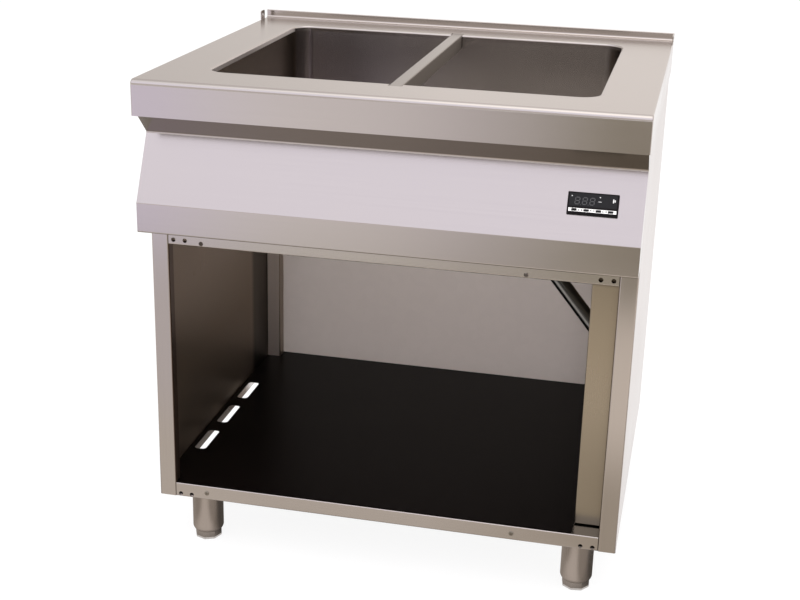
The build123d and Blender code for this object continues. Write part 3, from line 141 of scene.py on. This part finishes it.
# Noise: the values between which most of it lies, and the scales of brushed steel along and across its grain
NOISE_LOW, NOISE_HIGH = 0.3, 0.7
STREAK_SCALES = (2.2, 420.0)
HAIR_SCALES = (13.2, 1900.0)
SMEAR_SCALE = 5.0
HAIR_SHIFT = (3.1, 1.7, 5.3)
SMEAR_SHIFT = (7.7, 2.9, 4.1)

# How far roughness swings, from where its noise is low to where it is high
CLOUDED = (-0.012, 0.025)
HANDLED = (-0.05, 0.07)
RUBBED = (-0.015, 0.02)
TARNISHED = (0.08, -0.03)

# How many times more than its colour the roughness of a streak varies, down and up
SMOOTHER, ROUGHER = 4, 3

# Heights of fine textures, in metres
HAIR_HEIGHT = 0.00002
GRIT_HEIGHT = 0.00002
PEEL_HEIGHT = 0.00006
MOULD_HEIGHT = 0.00003
SMOOTH_HEIGHT = 0.00001

# The floor, and the glowing sheet before the unit, seen only in reflections, with the places where its bands
# meet, in metres
FLOOR_RADIUS = 40
FLOOR_SIDES = 64
CARD_LEVEL = 0.004
CARD_EDGE = [
    (-9, -12), (5, -12), (5, -0.27), (0.53, -0.27), (0.53, -0.115), (0.405, -0.115),
    (0.405, 0.4), (-0.5, 0.4), (-0.5, 0.03), (-0.75, 0.03), (-0.75, -0.27), (-9, -0.27),
]
CARD_ACROSS = (-0.75, 0.75)
FAR_BAND = (-2.08, -2.13)
RAIL_BAND = (-1.65, -1.9)
NEAR_BAND = (-1.0, -0.7)
LEG_BAND = (-0.44, -0.40)
LIMB_BAND = (-0.29, -0.23)

# The glowing sheet's tones fan out from a point behind the unit, over this range of slopes
FAN_X, FAN_Y = EYE.x, 1.67
FAN_SLOPES = (0.0, 0.5)

# The surround: the stretches of a direction over which it changes, and its lamp overhead
SKY_ACROSS = (-0.4, 0.2)
SKY_FRONT = (0.3, -0.3)
OVERHEAD = Vector((0.1, -0.2, 0.97)).normalized()
OVERHEAD_RIM = (0.86, 0.985)
OVERHEAD_GLOW = 0.8
OVERHEAD_COLOUR = (1, 0.96, 0.9)

# Soft boxes: place and aim in metres, size in metres and power in watts
SOFT_BOXES = {
    "key": ((-1.9, -2.6, 3.1), (0, 0, 0.3), 2.4, 40),
    "fill": ((2.2, -1.6, 3.0), (0, 0, 0.3), 2.4, 28),
    "rear": ((0.3, 3.0, 3.2), (0, 0.3, 0), 2.6, 40),
    "front": ((0.1, -3.6, 0.6), (0, 0.3, 0.4), 1.6, 70),
}


def make_camera():
    forward = Vector((-math.sin(YAW) * math.cos(PITCH), math.cos(YAW) * math.cos(PITCH), math.sin(PITCH)))
    right = Vector((math.cos(YAW), math.sin(YAW), 0))
    up = right.cross(forward)
    across = right * math.cos(ROLL) + up * math.sin(ROLL)
    top = up * math.cos(ROLL) - right * math.sin(ROLL)
    data = bpy.data.cameras.new("camera")
    data.sensor_fit = "HORIZONTAL"
    data.sensor_width = SENSOR
    data.lens = LENS
    data.clip_end = CLIP_END
    camera = bpy.data.objects.new("camera", data)
    camera.matrix_world = Matrix.Translation(EYE) @ Matrix((across, top, -forward)).transposed().to_4x4()
    scene.collection.objects.link(camera)
    scene.camera = camera


# Node helpers

def find_socket(node, key):
    """An input by its name, with _ for a space, or by its number after an i."""
    if key[0] == "i" and key[1:].isdigit():
        return node.inputs[int(key[1:])]
    return node.inputs[key.replace("_", " ")]


def add(tree, kind, settings=None, **inputs):
    """A node with its settings, and its inputs by name: a socket is linked, anything else is set."""
    node = tree.nodes.new("ShaderNode" + kind)
    for key, value in (settings or {}).items():
        setattr(node, key, value)
    for key, value in inputs.items():
        socket = find_socket(node, key)
        if isinstance(value, bpy.types.NodeSocket):
            tree.links.new(value, socket)
        elif socket.type == "RGBA":
            socket.default_value = (*value, 1)
        else:
            socket.default_value = value
    return node


def ramp(tree, value, stops):
    """A colour ramp with (position, colour) stops."""
    node = add(tree, "ValToRGB", Fac=value)
    elements = node.color_ramp.elements
    while len(elements) < len(stops):
        elements.new(0.5)
    for element, (position, colour) in zip(elements, stops):
        element.position = position
        element.color = (*colour, 1)
    return node.outputs["Color"]


def noise(tree, scale, detail, rough=0.5, shift=(0, 0, 0)):
    """Noise in the part's own frame, with one scale or a scale per axis."""
    scales = scale if isinstance(scale, tuple) else (scale, scale, scale)
    place = add(tree, "TexCoord").outputs["Object"]
    place = add(tree, "Mapping", Vector=place, Scale=scales, Location=shift).outputs["Vector"]
    return add(tree, "TexNoise", Vector=place, Scale=1.0, Detail=detail, Roughness=rough).outputs["Fac"]


def spread(tree, value, low, high, start=NOISE_LOW, end=NOISE_HIGH):
    """A value stretched onto a range."""
    node = add(tree, "MapRange", Value=value, From_Min=start, From_Max=end, To_Min=low, To_Max=high)
    return node.outputs["Result"]


def uneven(tree, value, rough, swing):
    """Roughness that swings about a middle, by a noise value."""
    low, high = swing
    return spread(tree, value, rough + low, rough + high)


def shade(colour, amount):
    return tuple(min(1.0, channel * amount) for channel in colour)


def tint(tree, value, dark, light):
    """A colour between two, by a noise value."""
    return ramp(tree, value, [(NOISE_LOW, dark), (NOISE_HIGH, light)])


def mottle(tree, value, colour, contrast):
    """A colour that gets a little darker and lighter, by a noise value."""
    return tint(tree, value, shade(colour, 1 - contrast), shade(colour, 1 + contrast))


def multiply(tree, one, other):
    """Two colours multiplied."""
    settings = {"data_type": "RGBA", "blend_type": "MULTIPLY"}
    return add(tree, "Mix", settings, Factor=1.0, i6=one, i7=other).outputs[2]


def blend(tree, value, one, other):
    """A mix from one colour to another, by a value."""
    return add(tree, "Mix", {"data_type": "RGBA"}, Factor=value, i6=one, i7=other).outputs[2]


def maths(tree, operation, one, other):
    """A sum, difference or quotient of two values."""
    return add(tree, "Math", {"operation": operation}, i0=one, i1=other).outputs[0]


def bump(tree, height, depth, strength):
    return add(tree, "Bump", Height=height, Strength=strength, Distance=depth).outputs["Normal"]


def axes(tree, vector):
    return add(tree, "SeparateXYZ", Vector=vector).outputs


def along(tree, axis, stretch):
    """How far a point lies along an axis of the part: 0 at the start of the stretch, 1 at its end."""
    place = axes(tree, add(tree, "TexCoord").outputs["Object"])
    return spread(tree, place[axis], 0.0, 1.0, *stretch)


def by_normal(tree, axis, stops):
    """A colour by how far a face looks along an axis, with stops from -1 to 1."""
    look = axes(tree, add(tree, "NewGeometry").outputs["Normal"])
    value = spread(tree, look[axis], 0.0, 1.0, -1.0, 1.0)
    return ramp(tree, value, [((place + 1) / 2, colour) for place, colour in stops])


def facing(tree, axis, turn, colour, rest=WHITE):
    """A colour on the faces that look along an axis, from the start of the turn to its end."""
    return by_normal(tree, axis, sorted(zip(turn, (rest, colour))))


def both_sides(tree, turn, colour, rest=WHITE):
    """A colour on the faces that look to the left or to the right."""
    start, end = turn
    return by_normal(tree, "X", [(-end, colour), (-start, rest), (start, rest), (end, colour)])


def begin(name):
    material = bpy.data.materials.new(name)
    material.use_nodes = True
    tree = material.node_tree
    return material, tree, tree.nodes["Principled BSDF"]


# Painted light and shade, and roughness: how a finish differs over one piece

def painted_flank_reflection(tree):
    """Painted reflection: the right side of the unit is painted a little warmer and darker than its front.
    """
    return blend(tree, along(tree, "X", OUTER_SKIN), WHITE, facing(tree, "X", RIGHT_SIDE, FLANK_REFLECTION))


def painted_worktop_shade(tree):
    """The worktop's ears and its upstand's front are painted darker than its top, as painted shade, and its
    right side is painted warmer, as a painted reflection.
    """
    raised = multiply(tree, both_sides(tree, EAR_SIDES, EAR_SHADE), facing(tree, "Y", UPSTAND_FRONT, UPSTAND_SHADE))
    return multiply(tree, painted_flank_reflection(tree), blend(tree, along(tree, "Z", ABOVE_TOP), WHITE, raised))


def rough_lip(tree):
    """How much rougher the sides of the well's lip are than the rest of the worktop."""
    across = along(tree, "X", ACROSS_TOP)
    within = ramp(tree, across, [(0.03, BLACK), (0.06, WHITE), (0.94, WHITE), (0.97, BLACK)])
    return multiply(tree, within, both_sides(tree, LIP_SIDES, ROUGH, BLACK))


def painted_well_shade(tree):
    """Painted shade: the well's sides and rounded corners are painted darker than its back, and its left end
    is painted lighter and cooler, as a painted reflection.
    """
    sides = by_normal(tree, "X", [
        (-0.9, FAR_CORNER_SHADE), (-0.4, CORNER_SHADE), (-0.1, WHITE), (0.004, WHITE),
        (0.04, SLIGHT_SHADE), (0.35, CORNER_SHADE), (0.85, CORNER_SHADE), (0.97, WELL_SIDE_SHADE),
    ])
    return multiply(tree, sides, blend(tree, along(tree, "X", ACROSS_WELL), WELL_LEFT_REFLECTION, WHITE))


def painted_bar_shade(tree):
    """Painted shade: the sides of the cross bar are painted a little darker than its top."""
    return both_sides(tree, BAR_SIDES, BAR_SIDE_SHADE)


def matt_sides(tree):
    """How much rougher the sides of the cross bar are than its top."""
    return both_sides(tree, BAR_SIDES, ROUGH, BLACK)


def painted_pipe_highlight(tree):
    """Painted highlight: the waste pipe is painted pale along its lower flank."""
    return by_normal(tree, "Z", [(-0.31, WHITE), (-0.18, PIPE_HIGHLIGHT), (-0.13, PIPE_HIGHLIGHT), (-0.01, WHITE)])


def painted_sole_shadow(tree):
    """Painted shadow: the feet are painted dark underneath, where they meet the floor."""
    return facing(tree, "Z", SOLE, SHADOW_TONE)


def duct_shade(tree):
    """The duct is greyer low down, and painted dark where the rail hides it, as a painted shadow."""
    return ramp(tree, along(tree, "Z", UP_DUCT), [
        (0.06, LOW_DUCT), (0.4, MID_DUCT), (0.7, WHITE), (0.905, WHITE), (0.92, SHADOW_TONE),
    ])


def painted_nook_shade(tree):
    """Painted shade: the level faces of the base are painted darker in the corner before the service duct.
    """
    return blend(tree, along(tree, "X", BESIDE_DUCT), WHITE, facing(tree, "Z", LEVEL, NOOK_SHADE))


def painted_left_shade(tree):
    """Painted shade and light: inside, the left panel's front fold and far end are painted darker, and its
    rear post is painted lighter.
    """
    fold = blend(tree, along(tree, "Y", PAST_FOLD), FOLD_SHADE, WHITE)
    skin = blend(tree, along(tree, "Y", FAR_END), WHITE, DEEP_SHADE)
    inner = blend(tree, along(tree, "X", PAST_SKIN), skin, fold)
    inner = blend(tree, facing(tree, "X", INNER_SIDE, WHITE, BLACK), WHITE, inner)
    post = facing(tree, "Y", POST_FRONT, REAR_POST_LIGHT)
    return multiply(tree, blend(tree, along(tree, "Y", BY_REAR_POST), WHITE, post), inner)


def matt_inside(tree):
    """How much rougher the left panel is low down inside, and on the front of its rear post."""
    skin = facing(tree, "X", INNER_SIDE, SEMI_MATT, BLACK)
    skin = multiply(tree, along(tree, "Z", LOW_INSIDE), skin)
    post = facing(tree, "Y", POST_FRONT, ROUGH, BLACK)
    return blend(tree, along(tree, "Y", BY_REAR_POST), skin, post)


# Finishes

def brushed(
    name, colour, rough, grain,
    contrast=0.015, anisotropy=0.5, hair=0.1, inside=0, painted_shading=None, matt=None,
):
    """Brushed sheet: fine streaks along one axis and soft smears.

    Undersides are painted darker, as painted shade. The faces inside the cabinet, which look along +X or -X
    by the sign of inside, are rougher, and painted darker and browner as painted shade. Further painted
    light and shade tints the sheet, and matt roughens it.
    """
    material, tree, bsdf = begin(name)
    streak_scale, hair_scale = (
        tuple(lengthwise if axis == grain else crosswise for axis in "XYZ")
        for lengthwise, crosswise in (STREAK_SCALES, HAIR_SCALES)
    )
    streaks = noise(tree, streak_scale, detail=4.0, rough=0.6)
    hairs = noise(tree, hair_scale, detail=2.0, rough=0.6, shift=HAIR_SHIFT)
    smears = noise(tree, SMEAR_SCALE, detail=4.0, rough=0.55, shift=SMEAR_SHIFT)
    tone = mottle(tree, streaks, colour, contrast)
    tone = multiply(tree, tone, tint(tree, smears, HAZE, WHITE))
    # Undersides: painted shade
    tone = multiply(tree, tone, facing(tree, "Z", UNDERSIDE, UNDERSIDE_SHADE))
    polish = spread(tree, streaks, rough * (1 - SMOOTHER * contrast), rough * (1 + ROUGHER * contrast))
    polish = maths(tree, "ADD", polish, spread(tree, smears, *CLOUDED))
    if painted_shading:
        tone = multiply(tree, tone, painted_shading(tree))
    if matt:
        polish = maths(tree, "ADD", polish, matt(tree))
    # Faces inside the cabinet: rougher, and painted darker and browner as painted shade
    if inside:
        turn = [inside * look for look in INNER_SIDE]
        tone = multiply(tree, tone, facing(tree, "X", turn, INNER_SHADE))
        polish = maths(tree, "ADD", polish, facing(tree, "X", turn, INNER_MATT, BLACK))
    tree.links.new(tone, bsdf.inputs["Base Color"])
    tree.links.new(polish, bsdf.inputs["Roughness"])
    tree.links.new(bump(tree, hairs, HAIR_HEIGHT, hair), bsdf.inputs["Normal"])
    bsdf.inputs["Metallic"].default_value = 1.0
    bsdf.inputs["Anisotropic"].default_value = anisotropy
    tangent = add(tree, "Tangent", {"direction_type": "RADIAL", "axis": grain})
    tree.links.new(tangent.outputs[0], bsdf.inputs["Tangent"])
    return material


def galvanised(name, colour, rough, cell=60.0, smear=4.0, grit=900.0, contrast=0.008):
    """Zinc-coated sheet: soft grey with faint spangles."""
    material, tree, bsdf = begin(name)
    place = add(tree, "TexCoord").outputs["Object"]
    cells = add(tree, "TexVoronoi", Vector=place, Scale=cell).outputs["Color"]
    spangle = add(tree, "RGBToBW", Color=cells).outputs[0]
    smears = noise(tree, smear, detail=4.0, rough=0.6)
    tone = multiply(tree, mottle(tree, spangle, colour, contrast), tint(tree, smears, SPANGLE_HAZE, WHITE))
    tree.links.new(tone, bsdf.inputs["Base Color"])
    tree.links.new(uneven(tree, smears, rough, HANDLED), bsdf.inputs["Roughness"])
    texture = bump(tree, noise(tree, grit, detail=2.0), GRIT_HEIGHT, strength=0.3)
    tree.links.new(texture, bsdf.inputs["Normal"])
    bsdf.inputs["Metallic"].default_value = 0.35
    return material


def coated(name, colour, rough, peel=700.0, dust=9.0, dusty=1.2):
    """Powder coat: a fine orange peel, with a little dust and rubbing."""
    material, tree, bsdf = begin(name)
    rubbing = noise(tree, dust, detail=5.0, rough=0.65)
    tree.links.new(tint(tree, rubbing, colour, shade(colour, dusty)), bsdf.inputs["Base Color"])
    tree.links.new(uneven(tree, rubbing, rough, RUBBED), bsdf.inputs["Roughness"])
    texture = bump(tree, noise(tree, peel, detail=2.0), PEEL_HEIGHT, strength=0.25)
    tree.links.new(texture, bsdf.inputs["Normal"])
    bsdf.inputs["Specular IOR Level"].default_value = 0.06
    return material


def moulded(
    name, colour, rough,
    grit=1500.0, height=MOULD_HEIGHT, contrast=0.12, coat=0.0, shine=0.5, painted_shading=None, handling=22.0,
):
    """Moulded plastic: a fine mould texture, handling marks and slightly uneven colour, with any painted
    light or shade.
    """
    material, tree, bsdf = begin(name)
    marks = noise(tree, handling, detail=4.0, rough=0.6)
    tone = mottle(tree, marks, colour, contrast)
    if painted_shading:
        tone = multiply(tree, tone, painted_shading(tree))
    tree.links.new(tone, bsdf.inputs["Base Color"])
    tree.links.new(uneven(tree, marks, rough, HANDLED), bsdf.inputs["Roughness"])
    texture = bump(tree, noise(tree, grit, detail=2.0), height, strength=0.5)
    tree.links.new(texture, bsdf.inputs["Normal"])
    bsdf.inputs["Coat Weight"].default_value = coat
    bsdf.inputs["Specular IOR Level"].default_value = shine
    return material


def plated(name, colour, rough, patch=60.0, turning=(500.0, 500.0, 2200.0), dark=0.82):
    """Plated or turned metal: faint turning marks, with darker patches of tarnish."""
    material, tree, bsdf = begin(name)
    tarnish = noise(tree, patch, detail=4.0, rough=0.6)
    tree.links.new(tint(tree, tarnish, shade(colour, dark), colour), bsdf.inputs["Base Color"])
    tree.links.new(uneven(tree, tarnish, rough, TARNISHED), bsdf.inputs["Roughness"])
    texture = bump(tree, noise(tree, turning, detail=2.0), GRIT_HEIGHT, strength=0.4)
    tree.links.new(texture, bsdf.inputs["Normal"])
    bsdf.inputs["Metallic"].default_value = 1.0
    return material


def make_steels():
    """Stainless sheet and tube, with a finish for each grain, tone and painted light and shade."""
    steel = (0.60, 0.56, 0.54)
    return {
        "stainless": brushed("stainless_lengthwise", steel, 0.17, "X"),
        "top_rail": brushed("stainless_top_rail", (0.575, 0.54, 0.505), 0.17, "X"),
        "worktop": brushed("stainless_worktop", steel, 0.17, "X", painted_shading=painted_worktop_shade, matt=rough_lip),
        "base": brushed("stainless_base", steel, 0.17, "X", painted_shading=painted_nook_shade),
        "left_side": brushed(
            "stainless_left_side", steel, 0.19, "Z", inside=1, painted_shading=painted_left_shade, matt=matt_inside,
        ),
        "right_side": brushed("stainless_right_side", steel, 0.19, "Z", inside=-1, painted_shading=painted_flank_reflection),
        "cross_bar": brushed(
            "stainless_bar", (0.31, 0.283, 0.26), 0.18, "Y", painted_shading=painted_bar_shade, matt=matt_sides,
        ),
        "stainless_well": brushed(
            "stainless_well", (0.54, 0.51, 0.485), 0.23, "X",
            contrast=0.004, anisotropy=0.2, hair=0.03, painted_shading=painted_well_shade,
        ),
        "stainless_duct": brushed(
            "stainless_duct", (0.43, 0.37, 0.285), 0.28, "Z", contrast=0.008, hair=0.02, painted_shading=duct_shade,
        ),
        "leg_steel": brushed("leg_steel", (0.55, 0.50, 0.465), 0.25, "Z", contrast=0.03),
        "foot_steel": brushed(
            "foot_steel", (0.50, 0.465, 0.44), 0.28, "Z", contrast=0.05, painted_shading=painted_sole_shadow,
        ),
    }


def make_metals():
    """The other metals."""
    return {
        "galvanised": galvanised("galvanised_sheet", (0.625, 0.555, 0.525), 0.6),
        "black_coat": coated("black_coat", (0.0022, 0.0015, 0.0014), 0.3),
        "nickel_brass": plated("nickel_plate", (0.68, 0.64, 0.56), 0.24),
        "pipe_steel": plated("pipe_steel", (0.60, 0.58, 0.56), 0.3),
        "element_sheath": plated("element_sheath", (0.25, 0.21, 0.18), 0.42),
        "zinc_fasteners": plated("bright_zinc", (0.66, 0.66, 0.64), 0.28),
        "rivet_steel": plated("rivet_steel", (0.34, 0.31, 0.27), 0.4),
    }


def make_plastics():
    """Plastics, and the ceramic of the terminals."""
    return {
        "case_plastic": moulded("case_plastic", (0.0040, 0.0032, 0.0038), 0.42, shine=0.11),
        "display": moulded(
            "display_filter", (0.010, 0.010, 0.011), 0.25,
            grit=300.0, height=SMOOTH_HEIGHT, contrast=0.1, shine=0.2,
        ),
        "keypad_white": moulded("keypad_white", (0.74, 0.73, 0.72), 0.45, contrast=0.03),
        "key_plastic": moulded("key_plastic", (0.008, 0.008, 0.009), 0.38, shine=0.22),
        "pipe_plastic": moulded(
            "pipe_plastic", (0.004, 0.004, 0.004), 0.12,
            grit=400.0, height=SMOOTH_HEIGHT, contrast=0.2, coat=1.0, painted_shading=painted_pipe_highlight,
        ),
        "grip_plastic": moulded("grip_plastic", (0.02, 0.02, 0.023), 0.3),
        "ceramic": moulded("ceramic", (0.72, 0.68, 0.60), 0.55, grit=900.0),
        "device_plastic": moulded("device_plastic", (0.05, 0.05, 0.055), 0.45),
    }


# Nodes whose finish isn't the one named after their slot in the record
OWN_FINISH = {
    "worktop": "worktop",
    "base_frame": "base",
    "side_panel_left": "left_side",
    "side_panel_right": "right_side",
    "top_front_rail": "top_rail",
    "cross_bar": "cross_bar",
    "rail_rivets": "rivet_steel",
}


def dress_nodes(finishes):
    slots = {entry["node"]: entry["material_slot"] for entry in frame["record"]["subparts"]}
    for name, thing in frame["nodes"].items():
        finish = finishes[OWN_FINISH.get(name, slots[name])]
        for slot in thing.material_slots:
            slot.material = finish


# Controller markings

def on_face(right, up, out):
    """A point of the controller's face, from millimetres right, up the slope and out of it."""
    return FACE_CENTRE + Vector((right, 0, 0)) * MM + FACE_UP * (up * MM) + FACE_NORMAL * (out * MM)


def shrink(outline, amount):
    """An outline drawn in towards the mean of its points."""
    middle = [sum(values) / len(outline) for values in zip(*outline)]
    return [[mean + (value - mean) * amount for value, mean in zip(point, middle)] for point in outline]


def plates(name, outlines, finish):
    """Thin raised plates on the controller, one per outline, with a slightly smaller top."""
    shape = bmesh.new()
    for outline in outlines:
        top = shrink(outline, PLATE_TAPER)
        low = [shape.verts.new(on_face(right, up, GLASS)) for right, up in outline]
        high = [shape.verts.new(on_face(right, up, GLASS + PLATE_THICK)) for right, up in top]
        shape.faces.new(high)
        for index in range(len(outline)):
            after = (index + 1) % len(outline)
            shape.faces.new((low[index], low[after], high[after], high[index]))
    mesh = bpy.data.meshes.new(name)
    shape.to_mesh(mesh)
    shape.free()
    piece = bpy.data.objects.new(name, mesh)
    scene.collection.objects.link(piece)
    mesh.materials.append(finish)
    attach(piece, "cabinet")


def bar(start, end, width):
    """A bar with pointed ends between two points."""
    start, end = Vector(start), Vector(end)
    step = (end - start).normalized() * (width / 2)
    side = Vector((-step.y, step.x))
    lower = [start, start + step - side, end - step - side]
    upper = [end, end - step + side, start + step + side]
    return [tuple(corner) for corner in lower + upper]


def circle(middle, radius, sides):
    """The corners of a round outline."""
    x, y = middle
    angles = [2 * math.pi / sides * index for index in range(sides)]
    return [(x + radius * math.cos(angle), y + radius * math.sin(angle)) for angle in angles]


def disc(middle, radius):
    return circle(middle, radius, DISC_SIDES)


def digit(middle):
    """The seven segments of one digit, leaning to the right."""
    half, tall = DIGIT_WIDTH / 2, DIGIT_HEIGHT / 2
    ends = [((SEGMENT_GAP - half, up), (half - SEGMENT_GAP, up)) for up in (tall, 0, -tall)]
    for foot in (0, -tall):
        for right in (-half, half):
            ends.append(((right, foot + SEGMENT_GAP), (right, foot + tall - SEGMENT_GAP)))
    outlines = []
    for start, end in ends:
        segment = bar(start, end, SEGMENT_THICK)
        outlines.append([(middle + right + DIGIT_LEAN * up, DIGIT_LEVEL + up) for right, up in segment])
    return outlines


def arrow(middle, way):
    """A small triangle that points up or down, by the sign of way."""
    foot = LEGEND_LEVEL - ARROW_FOOT * way
    tip = LEGEND_LEVEL + ARROW_TIP * way
    corners = [(middle - ARROW_HALF, foot), (middle + ARROW_HALF, foot), (middle, tip)]
    return corners[::way]


def marking_finish(name, colour, rough, grit, contrast):
    return moulded(name, colour, rough, grit=grit, height=SMOOTH_HEIGHT, contrast=contrast)


def mark_controller():
    dim = marking_finish("segment_off", (0.055, 0.055, 0.058), 0.35, 800.0, 0.1)
    pale = marking_finish("legend_print", (0.62, 0.62, 0.62), 0.5, 900.0, 0.08)
    grey = marking_finish("legend_grey", (0.16, 0.16, 0.165), 0.5, 900.0, 0.08)

    digits = [outline for right in DIGIT_PLACES for outline in digit(right)]
    digits += [disc((right, POINT_LEVEL), POINT_RADIUS) for right in POINT_PLACES]
    plates("display_digits", digits, dim)

    lamps = [disc(middle, LAMP_RADIUS) for middle in LAMP_PLACES]
    lamps.append(bar(DASH_START, DASH_END, DASH_THICK))
    for step, drop in SIGN_STEPS:
        right = SIGN_PLACE + step
        lamps.append(bar((right, SIGN_BOTTOM + drop), (right, SIGN_TOP - drop), SIGN_THICK))
    plates("display_lamps", lamps, pale)

    legends = []
    for right, way in LEGEND_PLACES:
        legends.append(arrow(right - LEGEND_ASIDE, way))
        legends.append(disc((right + LEGEND_ASIDE, LEGEND_LEVEL), DOT_RADIUS))
    plates("key_legends", legends, grey)


# Studio

def sheet(name, corners, material, reflected_only=False):
    mesh = bpy.data.meshes.new(name)
    mesh.from_pydata(corners, [], [tuple(range(len(corners)))])
    thing = bpy.data.objects.new(name, mesh)
    scene.collection.objects.link(thing)
    mesh.materials.append(material)
    if reflected_only:
        thing.visible_camera = thing.visible_diffuse = thing.visible_shadow = False
        thing.visible_transmission = thing.visible_volume_scatter = False


def make_floor():
    material, tree, bsdf = begin("studio_floor")
    soft = noise(tree, 0.7, detail=2.0)
    tree.links.new(tint(tree, soft, (0.12, 0.12, 0.12), (0.13, 0.13, 0.13)), bsdf.inputs["Base Color"])
    bsdf.inputs["Roughness"].default_value = 0.9
    bsdf.inputs["Specular IOR Level"].default_value = 0.1
    bsdf.inputs["Emission Color"].default_value = (1, 1, 1, 1)
    bsdf.inputs["Emission Strength"].default_value = 0.9
    sheet("floor", [(x, y, 0) for x, y in circle((0, 0), FLOOR_RADIUS, FLOOR_SIDES)], material)


def make_front_card():
    """A glowing sheet on the floor before the unit, seen only in reflections, in bands from back to front
    and under the legs that set the reflections in the steel.
    """
    material = bpy.data.materials.new("front_card")
    material.use_nodes = True
    tree = material.node_tree
    tree.nodes.clear()
    place = axes(tree, add(tree, "TexCoord").outputs["Object"])
    run = maths(tree, "SUBTRACT", place["X"], FAN_X)
    rise = maths(tree, "SUBTRACT", place["Y"], FAN_Y)
    fan = spread(tree, maths(tree, "DIVIDE", run, rise), 0.0, 1.0, *FAN_SLOPES)
    far = ramp(tree, fan, [
        (0.09, (0.33, 0.29, 0.23)), (0.14, (0.365, 0.33, 0.26)),
        (0.23, (0.53, 0.49, 0.46)), (0.36, (0.71, 0.66, 0.66)),
        (0.48, (0.84, 0.79, 0.785)), (0.60, (0.88, 0.83, 0.815)),
        (0.72, (0.905, 0.86, 0.90)), (0.85, (0.88, 0.82, 0.975)),
    ])
    rails = ramp(tree, fan, [
        (0.2, (0.60, 0.60, 0.53)), (0.45, (0.62, 0.63, 0.53)), (0.8, (0.80, 0.80, 0.76)),
    ])
    middle = ramp(tree, fan, [(0.1, (0.82, 0.735, 0.645)), (0.6, (0.65, 0.60, 0.59))])
    near = ramp(tree, fan, [(0.1, (0.465, 0.405, 0.33)), (0.4, (0.65, 0.59, 0.52))])
    across = along(tree, "X", CARD_ACROSS)
    bright, half = (0.66, 0.60, 0.55), (0.34, 0.30, 0.265)
    legs = ramp(tree, across, [
        (0.215, half), (0.245, bright), (0.3, bright), (0.325, half),
        (0.645, half), (0.67, bright), (0.725, bright), (0.745, half),
    ])
    light, dark = (0.38, 0.34, 0.305), (0.09, 0.08, 0.072)
    limbs = ramp(tree, across, [
        (0.25, light), (0.295, dark), (0.47, dark), (0.53, light), (0.70, light), (0.74, dark),
    ])
    tone = blend(tree, along(tree, "Y", NEAR_BAND), middle, near)
    tone = blend(tree, along(tree, "Y", LEG_BAND), tone, legs)
    tone = blend(tree, along(tree, "Y", LIMB_BAND), tone, limbs)
    tone = blend(tree, along(tree, "Y", RAIL_BAND), tone, multiply(tree, far, rails))
    tone = blend(tree, along(tree, "Y", FAR_BAND), tone, far)
    glow = add(tree, "Emission", Color=tone, Strength=1.0)
    output = add(tree, "OutputMaterial", Surface=glow.outputs[0])
    output.is_active_output = True
    sheet("front_card", [(x, y, CARD_LEVEL) for x, y in CARD_EDGE], material, reflected_only=True)


def make_world():
    """A soft white surround, darker low in front, and a wide lamp overhead."""
    world = bpy.data.worlds.new("studio")
    scene.world = world
    world.use_nodes = True
    tree = world.node_tree
    tree.nodes.clear()
    direction = add(tree, "TexCoord").outputs["Generated"]
    way = axes(tree, direction)
    height = spread(tree, way["Z"], 0.0, 1.0, -1.0, 1.0)
    below, above = (0.9, 0.9, 0.9), (1.0, 0.97, 0.95)
    back = ramp(tree, height, [
        (0.0, below), (0.5, (1.0, 0.94, 0.89)), (0.72, (1.0, 0.93, 0.885)), (1.0, above),
    ])
    falloff = ramp(tree, spread(tree, way["X"], 0.0, 1.0, *SKY_ACROSS), [
        (place, (level, level, level))
        for place, level in ((0.0, 0.71), (0.2, 0.79), (0.38, 0.915), (0.56, 0.925), (0.8, 0.93))
    ])
    front = ramp(tree, height, [
        (0.0, below), (0.5, (0.68, 0.635, 0.605)), (0.70, (0.72, 0.665, 0.615)),
        (0.74, (1.14, 1.105, 1.22)), (0.84, (1.15, 1.12, 1.24)), (1.0, above),
    ])
    forward = spread(tree, way["Y"], 0.0, 1.0, *SKY_FRONT)
    tone = blend(tree, forward, multiply(tree, back, falloff), front)
    upward = add(tree, "VectorMath", {"operation": "DOT_PRODUCT"}, i0=direction, i1=OVERHEAD)
    lamp = spread(tree, upward.outputs["Value"], 0.0, OVERHEAD_GLOW, *OVERHEAD_RIM)
    settings = {"data_type": "RGBA", "blend_type": "ADD"}
    tone = add(tree, "Mix", settings, Factor=lamp, i6=tone, i7=OVERHEAD_COLOUR).outputs[2]
    background = add(tree, "Background", Color=tone, Strength=1.0)
    add(tree, "OutputWorld", Surface=background.outputs[0])


def soft_box(name, place, aim, size, watts):
    data = bpy.data.lights.new(name, "AREA")
    data.shape = "SQUARE"
    data.size = size
    data.energy = watts
    lamp = bpy.data.objects.new(name, data)
    lamp.location = place
    lamp.rotation_mode = "QUATERNION"
    lamp.rotation_quaternion = (Vector(aim) - Vector(place)).to_track_quat("-Z", "Y")
    lamp.visible_glossy = False
    lamp.visible_camera = False
    scene.collection.objects.link(lamp)


make_camera()
make_world()
make_floor()
make_front_card()
for box_name, box_values in SOFT_BOXES.items():
    soft_box(box_name, *box_values)
dress_nodes({**make_steels(), **make_metals(), **make_plastics()})
mark_controller()
